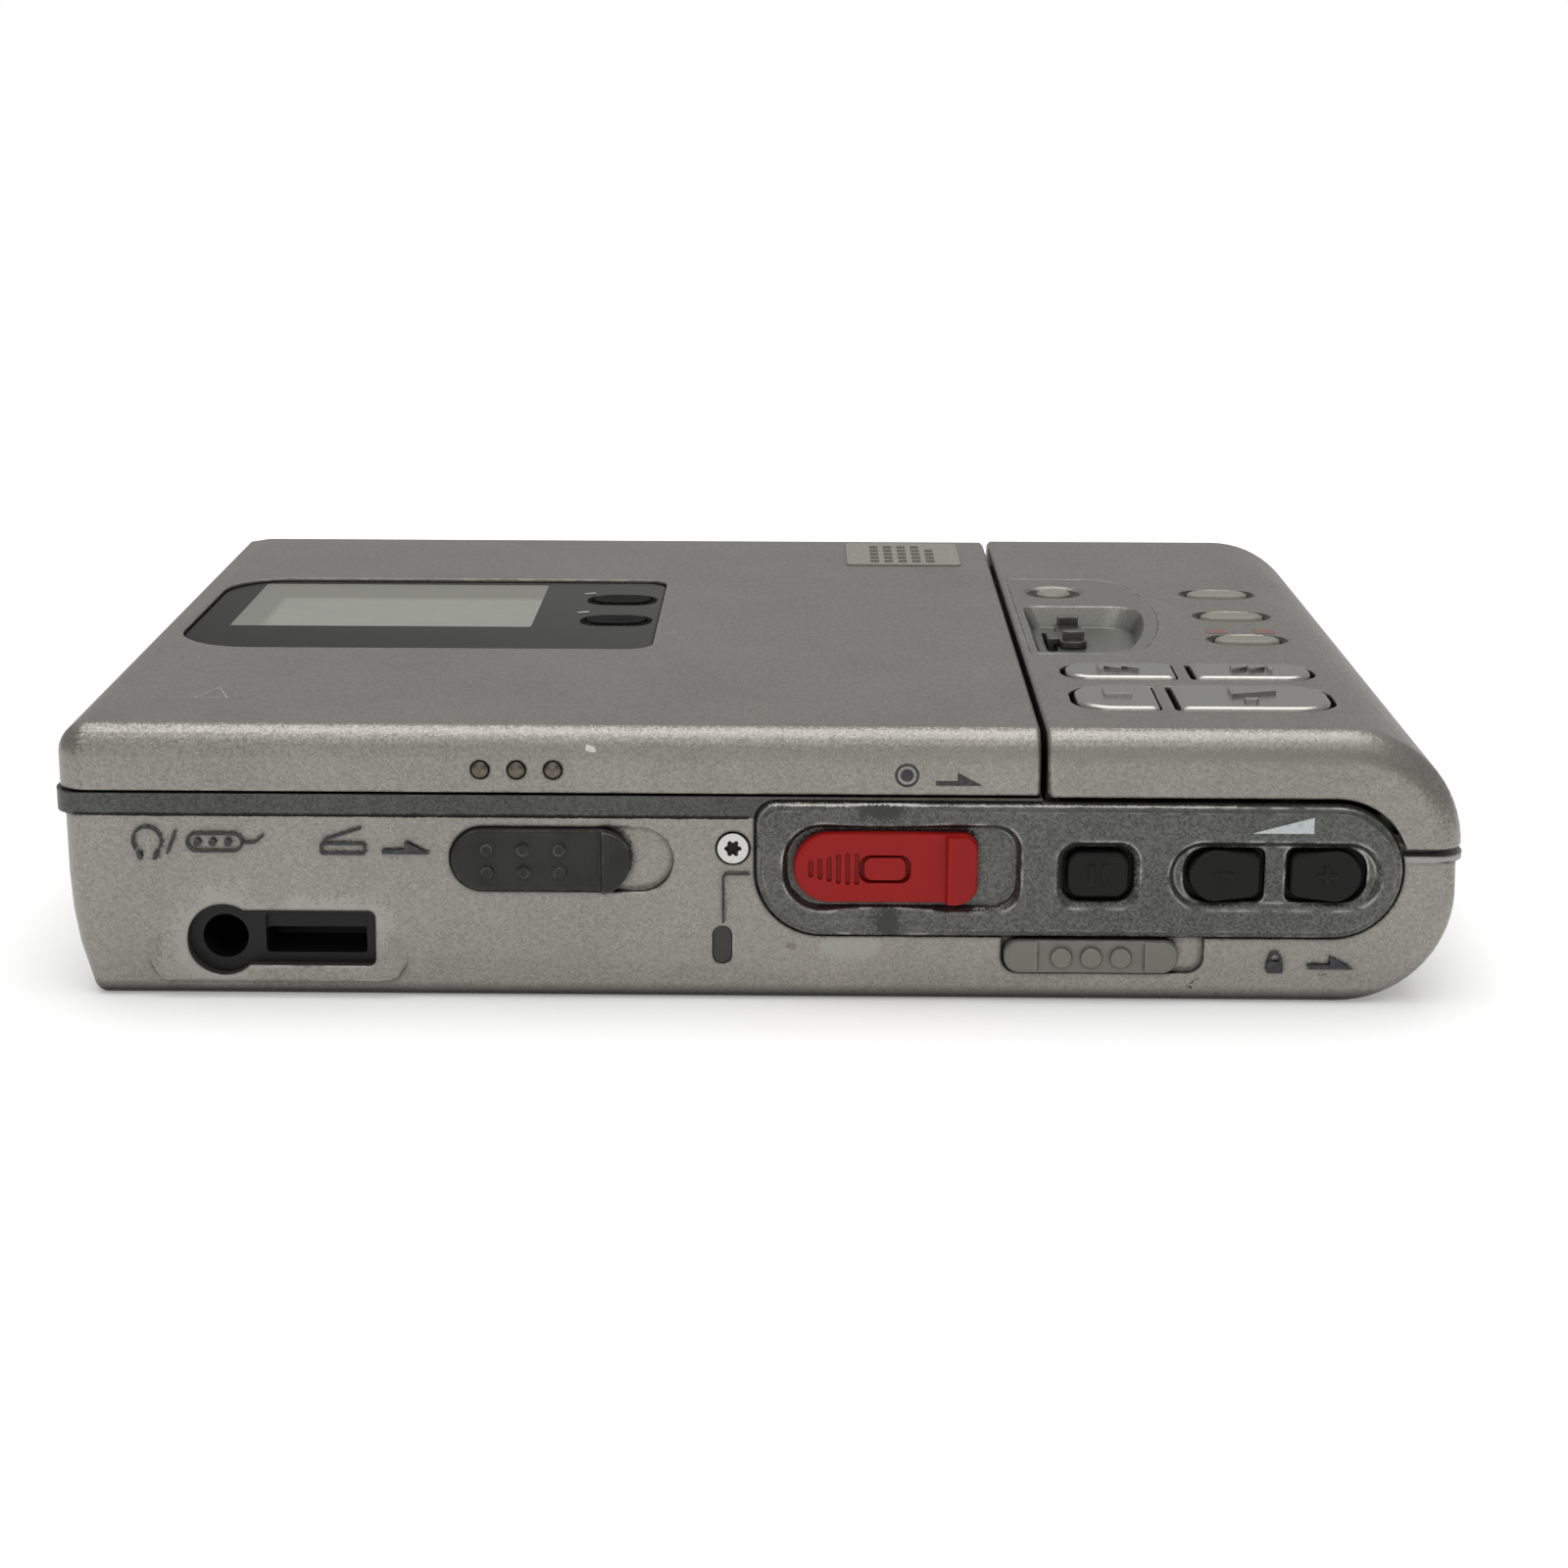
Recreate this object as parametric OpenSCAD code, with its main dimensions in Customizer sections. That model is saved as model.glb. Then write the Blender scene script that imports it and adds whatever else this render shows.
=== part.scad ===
// Portable minidisc recorder: a hinged lid carries the display and the disc holder, a control deck stands
// to its right, and sliders, keys and sockets line the front.
// Origin at the middle of the underside, +X right, +Y to the back, +Z up, in millimetres.

/* [Case] */
// Width of the disc lid
lid_w = 77; // [76.8:0.1:80]
// Width of the control deck to the right of the lid
deck_w = 32.9; // [32.8:0.1:36]
// Gap between the lid and the deck
seam_gap = 0.5; // [0.3:0.05:0.7]
// Depth of the case from front to back
case_d = 85; // [84.8:0.1:88]
// Height of the lower case under the lid
lower_h = 15; // [14.9:0.05:16]
// Height of the dark band under the lid
band_h = 1.75; // [1.6:0.05:2]
// Gap between the band and the lid
lid_gap = 0.25; // [0.15:0.05:0.35]
// Height of the lid
lid_h = 5; // [5:0.05:6]
// How far the band stands out past the lid
band_over = 0.3; // [0.2:0.05:0.5]
// Height of the lower case under the deck
deck_split = 11.7; // [11.5:0.05:12]
// Height of the thin band under the deck
deck_band_h = 0.5; // [0.4:0.05:0.7]
// Gap between the thin band and the deck cover
deck_gap = 0.6; // [0.4:0.05:0.8]
// Radius of the case corners and of the upper edges
edge_r = 2.5; // [2.2:0.1:2.8]
// Radius of the round lower edge on the right
round_low_r = 9; // [8.6:0.1:9.2]
// Radius of the round upper edge on the right
round_up_r = 9.5; // [8.8:0.1:9.7]
// How far the left side turns in towards the foot
side_tuck = 2.4; // [1.6:0.1:2.8]
// Radius round the foot of the case
foot_r = 1.2; // [1:0.1:1.5]
// Wall of the shells
wall = 1.2; // [1.1:0.05:1.3]
// Wall of the front and back of the lower case
front_wall = 1.5; // [1.4:0.05:1.6]
// Thickness of the floor
floor_t = 1; // [0.9:0.05:1]

/* [Lid] */
// Radius of the round back of the lid, centred on the hinge
barrel_r = 3.2; // [3:0.05:3.3]
// Radius of the hinge shaft
shaft_r = 0.8; // [0.6:0.05:0.9]
// Thickness of the lid top
lid_top_t = 1.4; // [1.3:0.05:1.5]
// Width of the display window
window_w = 42.1; // [38:0.1:43]
// Depth of the display window, front to back
window_d = 31.2; // [28:0.1:33]
// Depth of the window seat in the lid top
window_t = 0.9; // [0.8:0.05:1]
// How deep the pane lies under the lid top
window_sink = 0.25; // [0.1:0.05:0.3]
// Margin left of the window
window_margin = 3.05; // [2.6:0.05:4]
// Distance from the lid front to the window
window_front = 29.4; // [28:0.1:32]
// Width of the liquid crystal panel
lcd_w = 27.5; // [24:0.1:30]
// Depth of the liquid crystal panel, front to back
lcd_d = 18.4; // [16:0.1:18.5]
// Width of the two keys on the window
window_key_w = 5.4; // [4:0.1:6]
// Length of the two keys on the window, front to back
window_key_d = 3.6; // [3:0.1:4.5]
// Distance between the two keys
window_key_pitch = 9.4; // [7:0.1:10]
// Diameter of the grip studs on the lid front
stud_d = 1.3; // [1:0.05:1.6]
// Distance between the grip studs
stud_pitch = 2.84; // [2.2:0.02:3]

/* [Disc bay] */
// Width of the disc cartridge
disc_w = 72; // [70:0.1:72]
// Depth of the disc cartridge
disc_d = 68; // [66:0.1:68]
// Height of the disc cartridge
disc_h = 5; // [4.8:0.05:5.1]
// Room left round the cartridge
disc_play = 0.2; // [0.1:0.05:0.3]
// Sheet of the disc holder
sheet_t = 0.4; // [0.3:0.05:0.45]
// Thickness of the deck plate
plate_t = 0.7; // [0.6:0.05:0.8]
// Height of the deck plate over the ground
plate_z = 8; // [7.9:0.05:8.1]
// Radius of the rotor
rotor_r = 8.6; // [7:0.1:8.8]
// Radius of the disc table
table_r = 5; // [4:0.1:6]
// Travel of the pickup
sled_travel = 15; // [12:0.1:15]
// Length of the pickup sled
sled_l = 11.6; // [11:0.1:11.8]
// Radius of the guide rods
rod_r = 0.8; // [0.6:0.05:0.9]
// Radius of the lead screw
screw_r = 0.9; // [0.7:0.05:0.95]
// Tooth size of the small gears
gear_module = 0.3; // [0.28:0.01:0.31]
// Teeth of the lead screw gear
screw_teeth = 18; // [16:1:18]
// Teeth of the idler
idler_teeth = 16; // [14:1:16]
// Teeth of the motor pinion
pinion_teeth = 10; // [10:1:12]

/* [Front] */
// Width of the dark control panel
panel_w = 50.85; // [48:0.1:52]
// Height of the dark control panel
panel_h = 11; // [10.5:0.1:11.2]
// Height of the panel over the ground
panel_z = 5.45; // [5.4:0.05:5.7]
// How far the panel stands out of the front
panel_proud = 0.6; // [0.4:0.05:0.8]
// Thickness of the panel
panel_t = 1.5; // [1.3:0.05:1.6]
// Depth of the finger recesses in the panel
recess_d = 0.8; // [0.5:0.05:0.9]
// Depth of the slider recesses in the case
case_recess_d = 0.6; // [0.4:0.05:0.8]
// Gap at the sides of the sliding knobs
knob_play = 0.1; // [0.08:0.01:0.2]
// Width of the opening slider
open_w = 14.2; // [12:0.1:15]
// Height of the opening slider
open_h = 5.1; // [4.6:0.1:5.4]
// Travel of the opening slider
open_travel = 3; // [2:0.1:3.2]
// Width of the record slider
rec_w = 14.4; // [12.8:0.1:15]
// Height of the record slider
rec_h = 5.6; // [5:0.1:6]
// Travel of the record slider
rec_travel = 2.6; // [2:0.1:2.8]
// Width of the hold slider
hold_w = 13.7; // [12:0.1:14.5]
// Height of the hold slider
hold_h = 2.75; // [2.3:0.05:2.8]
// Travel of the hold slider
hold_travel = 1.9; // [1.4:0.1:2]
// Gap round the deck keys
key_play = 0.15; // [0.1:0.01:0.25]
// Stroke of the keys
key_travel = 0.5; // [0.3:0.05:0.55]
// Width of the pause key
pause_w = 4.8; // [4:0.1:5.2]
// Width of each volume key
volume_w = 5.6; // [5:0.1:5.8]
// Height of the pause and volume keys
front_key_h = 3.7; // [3.2:0.1:3.9]
// Gap round the pause and volume keys
front_key_gap = 0.4; // [0.2:0.05:0.45]
// Radius of a headphone socket
jack_r = 1.8; // [1.78:0.01:1.9]
// Depth of a headphone socket
jack_l = 13; // [11:0.5:14]
// Radius of the collar round a socket
jack_collar_r = 2.85; // [2.6:0.05:2.9]
// Height of the sockets over the ground
jack_z = 4.83; // [4.8:0.01:4.9]

/* [Deck] */
// Width of each row of transport keys
row_w = 21.2; // [19:0.1:21.8]
// Length of the rear keys, front to back
rear_key_d = 5.4; // [4.4:0.1:5.8]
// Length of the front keys, front to back
front_row_d = 8.2; // [7:0.1:8.6]
// Width of the rib between two keys of a row
key_rib = 1; // [0.9:0.05:1.4]
// How far the transport keys stand out
key_proud = 0.25; // [0.15:0.05:0.5]
// Length of each small oval key
oval_w = 5.8; // [5:0.1:6.2]
// Depth of each small oval key, front to back
oval_d = 2.7; // [2.4:0.1:3.2]
// Distance between the oval keys
oval_pitch = 10.2; // [9:0.1:10.6]
// Diameter of the round key
round_key_d = 3.2; // [2.6:0.1:3.5]
// Width of the jog insert
jog_w = 12.7; // [12:0.1:13]
// Depth of the jog well
jog_well_d = 1.9; // [1.7:0.05:2]
// Travel of the jog lever each way
jog_travel = 1.2; // [0.8:0.1:1.4]

/* [Power] */
// Width of the battery
battery_w = 24.5; // [22:0.1:24.6]
// Length of the battery
battery_l = 58; // [54:0.5:58.5]
// Height of the battery
battery_h = 8.2; // [7.4:0.1:8.4]
// Thickness of the battery door
door_t = 1.3; // [1.1:0.05:1.4]
// Radius of the pins of the battery door
door_pin_r = 0.5; // [0.4:0.05:0.55]

/* [Fits] */
// Running clearance of a shaft in its hole
run_fit = 0.05; // [0.03:0.01:0.08]
// Gap between two fixed pieces
seat_fit = 0.05; // [0.03:0.01:0.08]

/* [Hidden] */
$fn = 48;

case_w = lid_w + seam_gap + deck_w + 2 * band_over;
case_h = lower_h + band_h + lid_gap + lid_h;
x_left = -case_w / 2;
x_right = case_w / 2;
y_front = -case_d / 2;
y_back = case_d / 2;
lid_x0 = x_left + band_over;
lid_x1 = lid_x0 + lid_w;
deck_x0 = lid_x1 + seam_gap;
deck_x1 = deck_x0 + deck_w;
band_z1 = lower_h + band_h;
lid_z0 = band_z1 + lid_gap;
cover_z0 = deck_split + deck_band_h + deck_gap;
hull_fn = 32;

// The step between the lid side and the deck side of the lower case
rib_t = wall;
rib_x1 = lid_x1 + 0.2;
rib_x0 = rib_x1 - rib_t;
case_side = band_over + 0.3;
foot_in = 0.3;
bay_x0 = x_left + case_side + wall;
cave_x0 = bay_x0 + 2.1;
cave_step_z = plate_z + 1.8;
cave_y0 = y_front + front_wall;
cave_y1 = y_back - front_wall;
low_axis_x = deck_x1 - 0.5 - round_low_r;
cave_r = round_low_r - wall - 0.2;
up_axis_x = deck_x1 - round_up_r;
up_axis_z = case_h - round_up_r;

// Hinge of the lid
hinge_y = y_back - barrel_r;
hinge_z = case_h - barrel_r;
barrel_in_r = barrel_r - wall + 0.2;
barrel_run = 0.25;
shaft_hole_r = shaft_r + run_fit;
shaft_x0 = bay_x0 + 1.2;
ear_t = 1.5;
ear_r = barrel_in_r - 0.3;

// Disc bay heights, counted down from the lid
lid_in_x0 = lid_x0 + wall;
lid_in_x1 = lid_x1 - wall;
lid_under_z = case_h - lid_top_t;
plate_top_z = case_h - window_t - 2.3;
lid_plate_t = 0.5;
arm_t = 0.4;
holder_top_z = lid_z0 + 0.15;
holder_w = disc_w + 2 * disc_play + 2 * sheet_t;
holder_d = disc_d + 2;
holder_in_h = disc_h + 1.5 * disc_play;
holder_h = holder_in_h + 2 * sheet_t;
holder_z0 = holder_top_z - holder_h;
disc_x = (lid_in_x0 + lid_in_x1) / 2;
holder_y0 = y_front + 5;
disc_y = holder_y0 + 1 + disc_d / 2;
rail_w = 3.2;

// Drive under the disc
motor_r = rotor_r + 1.2;
spindle_r = 0.75;
hub_r = 1.9;
table_top_z = holder_z0 + sheet_t - 0.3;
rotor_z = plate_z + 0.15;
rotor_h = 1.1;
lens_x = disc_x + 15;
sled_x0 = lens_x - 5.5;
sled_z0 = plate_z - 3;
sled_z1 = plate_z + 1.6;
rod_z = plate_z - 1.4;
rod_gap = 11;
screw_y = disc_y + 16.5;
gear_t = 1.2;
drive_x = sled_x0 - 2.7;
tab_t = 0.6;
drive_end_x = rib_x0 - 0.5;
idler_y = screw_y + gear_module * (screw_teeth + idler_teeth) / 2;
pinion_y = idler_y + gear_module * (idler_teeth + pinion_teeth) / 2;
drive_motor_r = 3;
drive_motor_l = 12.4;
pinion_shaft_r = 0.4;

// Board and sockets
board_z = floor_t + 0.2;
board_t = 0.7;
board_top_z = board_z + board_t;
chip_h = 1;
jack_x = x_left + 13.1;
jack_face_y = y_front + 0.9;
remote_w = 12;
remote_h = 4.4;
remote_z = 5;
socket_hole_y = y_back - 0.9;
socket_top_z = 7.75;
mic_x = x_left + 15.5;
line_x = mic_x + 12;
power_x = line_x + 12;
power_pin_r = 0.85;

// Front sliders and panel
panel_x1 = deck_x1 - 4.8;
panel_x0 = panel_x1 - panel_w;
panel_y0 = y_front - panel_proud;
panel_y1 = panel_y0 + panel_t;
panel_mid_z = panel_z + panel_h / 2;
panel_low_r = 5.3;
panel_high_r = 1.7;
panel_edge = 0.7;
cover_panel_gap = 0.4;
panel_back_lip = 1.5;
rec_x0 = panel_x0 + 3.05;
rec_mid_z = panel_mid_z + 0.3;
rec_recess_y = panel_y0 + recess_d;
rec_floor_gap = 0.05;
rec_face_y = panel_y0 - 0.5;
rec_ridge_y = rec_face_y - 0.7;
lock_w = 3.2;
lock_h = 1.8;
lock_x = rec_x0 + 7.15;
lock_travel = 0.5;
open_x0 = x_left + 31.2;
open_mid_z = lower_h - 3.42;
open_recess_y = y_front + case_recess_d;
open_face_y = y_front - 0.5;
open_ridge_y = open_face_y - 0.6;
hold_x0 = panel_x0 + 19.66;
hold_mid_z = panel_z - 0.12 - hold_h / 2;
hold_seat_r = hold_h * 0.44 + knob_play;
hold_face_y = y_front - 0.7;
stem_h = 1.6;
clip_t = 0.5;
pause_x = panel_x0 + 26.88;
minus_x = panel_x0 + 36.75;
plus_x = minus_x + 8;
front_key_z = panel_mid_z - 0.25;
front_key_y = panel_y0 + 0.15;
front_well_d = 0.5;
flange_t = 0.6;
flange_lip = 0.45;
front_board_y = panel_y1 + flange_t + key_travel + 0.6;
front_board_t = 0.8;
screw_x = panel_x0 - 1.7;
screw_z = lower_h - 2.43;
lamp_x = panel_x0 - 2.54;
lamp_z = 4.62;
lamp_w = 1.46;
lamp_h = 3.05;

// Deck keys
deck_top_t = 1.3;
deck_under_z = case_h - deck_top_t;
row_x = deck_x0 + 13.35;
rear_row_y = y_front + 21.5;
front_row_y = y_front + 11.9;
key_end_gap = 0.3;
rear_split_x = row_x - 0.5;
front_split_x = row_x - 3.1;
key_flange_z = deck_under_z - 0.15 - flange_t;
key_board_t = 0.8;
dome_h = 0.5;
key_board_z = key_flange_z - key_travel - 0.15 - dome_h - key_board_t;
oval_x = deck_x0 + 20.3;
oval_y = y_front + 44.8;
round_x = deck_x0 + 4.8;
round_y = y_front + 55.8;
oval_dish_w = 7.25;
oval_dish_d = 4.8;
round_dish_d = 6;
dish_h = 0.85;
round_dish_r = (round_dish_d * round_dish_d / 4 / dish_h + dish_h) / 2;
jog_x0 = deck_x0 + 0.7;
jog_y0 = y_front + 28.5;
jog_y1 = y_front + 62;
jog_plate_t = 0.9;
jog_mid_y = y_front + 46.5;
jog_bow_r = 50;
jog_corner_r = 20.4;
jog_rim = 0.6;
jog_well_y1 = y_front + 49.1;
jog_floor_z = case_h - jog_well_d;
jog_floor_t = 0.7;
jog_slot_x = jog_x0 + 2.75;
jog_slot_w = 1;
jog_foot_l = 3;
jog_slot_spare = 1.4;
jog_slot_l = jog_foot_l + 2 * (jog_travel + jog_slot_spare);
jog_slot_y = y_front + 42.1;
jog_knob_w = 2.4;
jog_knob_l = 7.8;

// Battery bay at the back of the deck
battery_x = deck_x0 + 1.8 + battery_w / 2;
battery_z = floor_t + 1.35;
door_axis_y = y_back - door_t * 0.7;
door_axis_z = 2.9;
door_barrel_r = door_t * 0.7;
battery_y1 = door_axis_y - door_barrel_r - 0.15;
battery_y0 = battery_y1 - battery_l;
door_w = battery_w + 1.2;
door_z1 = battery_z + battery_h + 0.4;
door_pin_l = 0.8;

// Fixing posts
post_r = 1.5;
post_x = cave_x0 + post_r + 0.5;
post_y = y_back - 3.2;
deck_post_x = deck_x0 + 19.7;
deck_post_y = y_front + 5.4;
case_screw_pts = [[post_x, -post_y], [post_x, post_y], [deck_post_x, deck_post_y]];
pilot_r = 0.6;
head_r = 1.37;
head_h = 0.6;
head_sink = 0.2;
damper_pts = [[disc_x - 7.3, y_front + 8.5], [disc_x + 30.7, y_front + 8.5], [disc_x - 29.3,
  y_back - 18.5],
  [disc_x + 32.7, y_back - 9.5]];
damper_post_r = 1.2;
damper_r = 1.9;

// A flat shape in X and Z, made solid from y_near towards the back
module front_block(y_near, depth) {
  translate([0, y_near + depth, 0]) rotate([90, 0, 0]) linear_extrude(depth) children();
}

// A round bar along X
module bar_x(x0, length, r) {
  translate([x0, 0, 0]) rotate([0, 90, 0]) cylinder(h = length, r = r);
}

// A round bar along Y
module bar_y(y0, length, r) {
  translate([0, y0 + length, 0]) rotate([90, 0, 0]) cylinder(h = length, r = r);
}

// A box from one corner to the other
module span(from, to) {
  translate(from) cube(to - from);
}

// A flat rectangle between two corners with its own radius at each corner, left low first, going round
module soft_rect(x0, y0, x1, y1, r) {
  polygon([[x0 + r[0], y0], [x1 - r[1], y0], [x1, y0 + r[1]], [x1, y1 - r[2]],
    [x1 - r[2], y1], [x0 + r[3], y1], [x0, y1 - r[3]], [x0, y0 + r[0]]]);
  translate([x0 + r[0], y0 + r[0]]) circle(r[0]);
  translate([x1 - r[1], y0 + r[1]]) circle(r[1]);
  translate([x1 - r[2], y1 - r[2]]) circle(r[2]);
  translate([x0 + r[3], y1 - r[3]]) circle(r[3]);
}

// A flat rectangle about a middle point with one corner radius
module soft_pad(x, y, w, h, r) {
  soft_rect(x - w / 2, y - h / 2, x + w / 2, y + h / 2, [r, r, r, r]);
}

// A flat slot with round ends
module slot(x, y, w, h) {
  r = min(w, h) / 2;
  translate([x, y]) square([w - (w > h ? h : 0), h - (h > w ? w : 0)], center = true);
  for (s = [-1, 1]) translate([x + s * (w / 2 - r), y + s * (h / 2 - r)]) circle(r);
}

// A round drum along Y with a soft rim at both ends
module drum(r, length, rim) {
  rotate([90, 0, 0]) rotate_extrude($fn = 64) intersection() {
    soft_pad(0, 0, 2 * r, length, rim);
    translate([0, -length]) square([2 * r, 2 * length]);
  }
}

// A raised pad on a front face: full outline at the back and a soft edge in front
module soft_front(y_face, depth, edge) {
  hull() {
    front_block(y_face + edge, depth - edge) children(0);
    front_block(y_face + edge * 0.3, edge) children(1);
    front_block(y_face, edge) children(2);
  }
}

// Left outline of the lower case at a given height
function left_at(z) = x_left + case_side + side_tuck * pow(max(lower_h - z, 0) / lower_h, 4);

// The outer form of the lower case, taller than needed
module case_form() {
  hull() {
    for (z = [lower_h + edge_r, 10, 7, 4.6]) for (s = [-1, 1])
      translate([left_at(z) + edge_r, s * (y_back - edge_r), z]) sphere(edge_r, $fn = hull_fn);
    for (s = [-1, 1]) translate([left_at(foot_r) + foot_r, s * (y_back - foot_in - foot_r), foot_r])
      sphere(foot_r, $fn = hull_fn);
    translate([low_axis_x, 0, round_low_r]) drum(round_low_r, case_d, foot_r);
    for (s = [-1, 1])
      translate([low_axis_x + round_low_r - edge_r, s * (y_back - edge_r), round_low_r])
        cylinder(h = lower_h - round_low_r + edge_r, r = edge_r, $fn = hull_fn);
  }
}

// The hollow inside the lower case
module case_hollow() {
  top = case_h;
  span([cave_x0, cave_y0, floor_t], [low_axis_x, cave_y1, top]);
  span([bay_x0, cave_y0, cave_step_z], [low_axis_x, cave_y1, top]);
  translate([low_axis_x, 0, round_low_r]) bar_y(cave_y0, cave_y1 - cave_y0, cave_r);
  span([low_axis_x, cave_y0, round_low_r], [low_axis_x + cave_r, cave_y1, top]);
}

// Outline of the front socket block: a round collar with a slot to its right
module socket_face(grow) {
  translate([jack_x, jack_z]) circle(jack_collar_r + grow);
  soft_rect(jack_x, remote_z - remote_h / 2 - grow, jack_x + remote_w + grow,
    remote_z + remote_h / 2 + grow,
    [0.4, 0.6, 0.6, 0.4]);
}

// Outline of the control panel, pulled in by a set amount
module panel_face(inset) {
  r = panel_h / 2 - inset;
  soft_rect(panel_x0 + inset, panel_z + inset, panel_x1 - inset, panel_z + panel_h - inset,
    [panel_low_r - inset, r, r, panel_high_r - inset * 0.6]);
}

module bottom_case() {
  color("silver") difference() {
    union() {
      difference() {
        case_form();
        case_hollow();
        span([x_left - 5, y_front - 5, lower_h], [x_right + 5, y_back + 5, case_h + 9]);
        span([rib_x0, y_front - 5, deck_split], [x_right + 5, y_back + 5, case_h + 9]);
      }
      // pad round the sockets, where the case turns in under the front
      hull() {
        front_block(y_front, front_wall)
          soft_rect(jack_x - 6, 1.45, jack_x + 14.5, 4.6, [2, 2, 0.3, 0.3]);
        front_block(y_front - 0.3, 0.3) soft_rect(jack_x - 5.4, 1.5, jack_x + 13.9, 2.6, [1, 1, 0.3, 0.3]);
      }
      // posts of the deck plate
      for (p = damper_pts)
        translate([p[0], p[1], floor_t - 0.1]) cylinder(h = plate_z + plate_t + 0.9 - floor_t,
          r = damper_post_r);
      // pads under the board
      for (x = [cave_x0 + 6, disc_x, rib_x0 - 6]) for (y = [-12, 14])
        translate([x, y, floor_t - 0.1]) cylinder(h = board_z - floor_t + 0.1, r = 2);
      // ribs under the battery
      for (y = [battery_y0 + 6, battery_y1 - 12])
        span([battery_x - battery_w / 2 + 1, y, floor_t - 0.1],
        [battery_x + battery_w / 2 - 4, y + 1.5, battery_z]);
      // rail beside the battery
      span([battery_x - battery_w / 2 - 1.3, battery_y0, floor_t - 0.1],
        [battery_x - battery_w / 2 - 0.15, battery_y1 - 4, battery_z + 3]);
    }
    // front socket and its seat
    front_block(y_front - 1, front_wall + 1.5) socket_face(seat_fit);
    span([jack_x - 3.3 - seat_fit, jack_face_y, board_top_z], [jack_x + remote_w + 1 + seat_fit,
      cave_y0 + 1, socket_top_z]);
    // seat of the control panel and the opening behind it
    front_block(y_front - 2, panel_y1 - y_front + 2) panel_face(-seat_fit);
    front_block(y_front - 2, front_wall + 3) panel_face(panel_back_lip);
    // opening slider
    front_block(y_front - 1, 1 + case_recess_d)
      slot(open_x0 + (open_w + open_travel) / 2 + knob_play, open_mid_z,
      open_w + open_travel + 4 * knob_play, open_h + 2 * knob_play);
    front_block(y_front - 1, front_wall + 2)
      slot(open_x0 + open_w / 2 + open_travel / 2 + knob_play, open_mid_z,
      open_w * 0.45 + open_travel + 4 * knob_play, stem_h + 2 * knob_play);
    // hold slider
    front_block(y_front - 1, 1 + case_recess_d)
      soft_rect(hold_x0 - knob_play * 2, hold_mid_z - hold_h / 2 - knob_play,
      hold_x0 + hold_w + hold_travel + knob_play * 2, panel_z + 0.5, [hold_seat_r, hold_seat_r, 0.1, 0.1]);
    front_block(y_front - 1, front_wall + 2)
      slot(hold_x0 + hold_w / 2 + hold_travel / 2, hold_mid_z,
        hold_w * 0.4 + hold_travel + 4 * knob_play, 1.2);
    // record lamp
    front_block(y_front - 1, front_wall + 2) slot(lamp_x, lamp_z, lamp_w + 2 * seat_fit,
      lamp_h + 2 * seat_fit);
    // front screw
    translate([screw_x, 0, screw_z]) {
      bar_y(y_front - 1, 1.5, head_r);
      bar_y(y_front - 1, front_wall + 3, pilot_r + 0.1);
    }
    // rear sockets
    for (x = [mic_x, line_x, power_x]) {
      translate([x, 0, jack_z]) bar_y(cave_y1 - 1, front_wall + 3, jack_collar_r);
      span([x - 3.2 - seat_fit, cave_y1 - 1, board_top_z], [x + 3.2 + seat_fit, socket_hole_y,
        socket_top_z]);
    }
    // battery opening at the back, with the seats of the door pins
    span([battery_x - door_w / 2 - seat_fit * 2, cave_y1 - 1, door_axis_z - door_barrel_r - 0.15],
      [battery_x + door_w / 2 + seat_fit * 2, y_back + 1, door_z1 + 0.15]);
    translate([battery_x - door_w / 2 - door_pin_l - 0.2, door_axis_y, door_axis_z])
      bar_x(0, door_w + 2 * door_pin_l + 0.4, door_pin_r + run_fit);
    // screws from below
    for (p = case_screw_pts) translate([p[0], p[1], -1]) {
      cylinder(h = 1 + head_sink + head_h, r = head_r + 0.1);
      cylinder(h = 4, r = pilot_r + 0.1);
    }
    // pilot holes in the deck posts
    for (p = damper_pts) translate([p[0], p[1], plate_z - 3]) cylinder(h = 9, r = pilot_r);
  }
}

// Ring shaped like the case outline, between two levels
module band_ring(x0, x1, z0, z1, r) {
  translate([0, 0, z0]) linear_extrude(z1 - z0) difference() {
    soft_rect(x0, y_front, x1, y_back, r);
    soft_rect(x0 + 1.8, y_front + 1.8, x1 - rib_t, y_back - 1.8, [1, 0.2, 0.2, 1]);
  }
}

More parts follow.
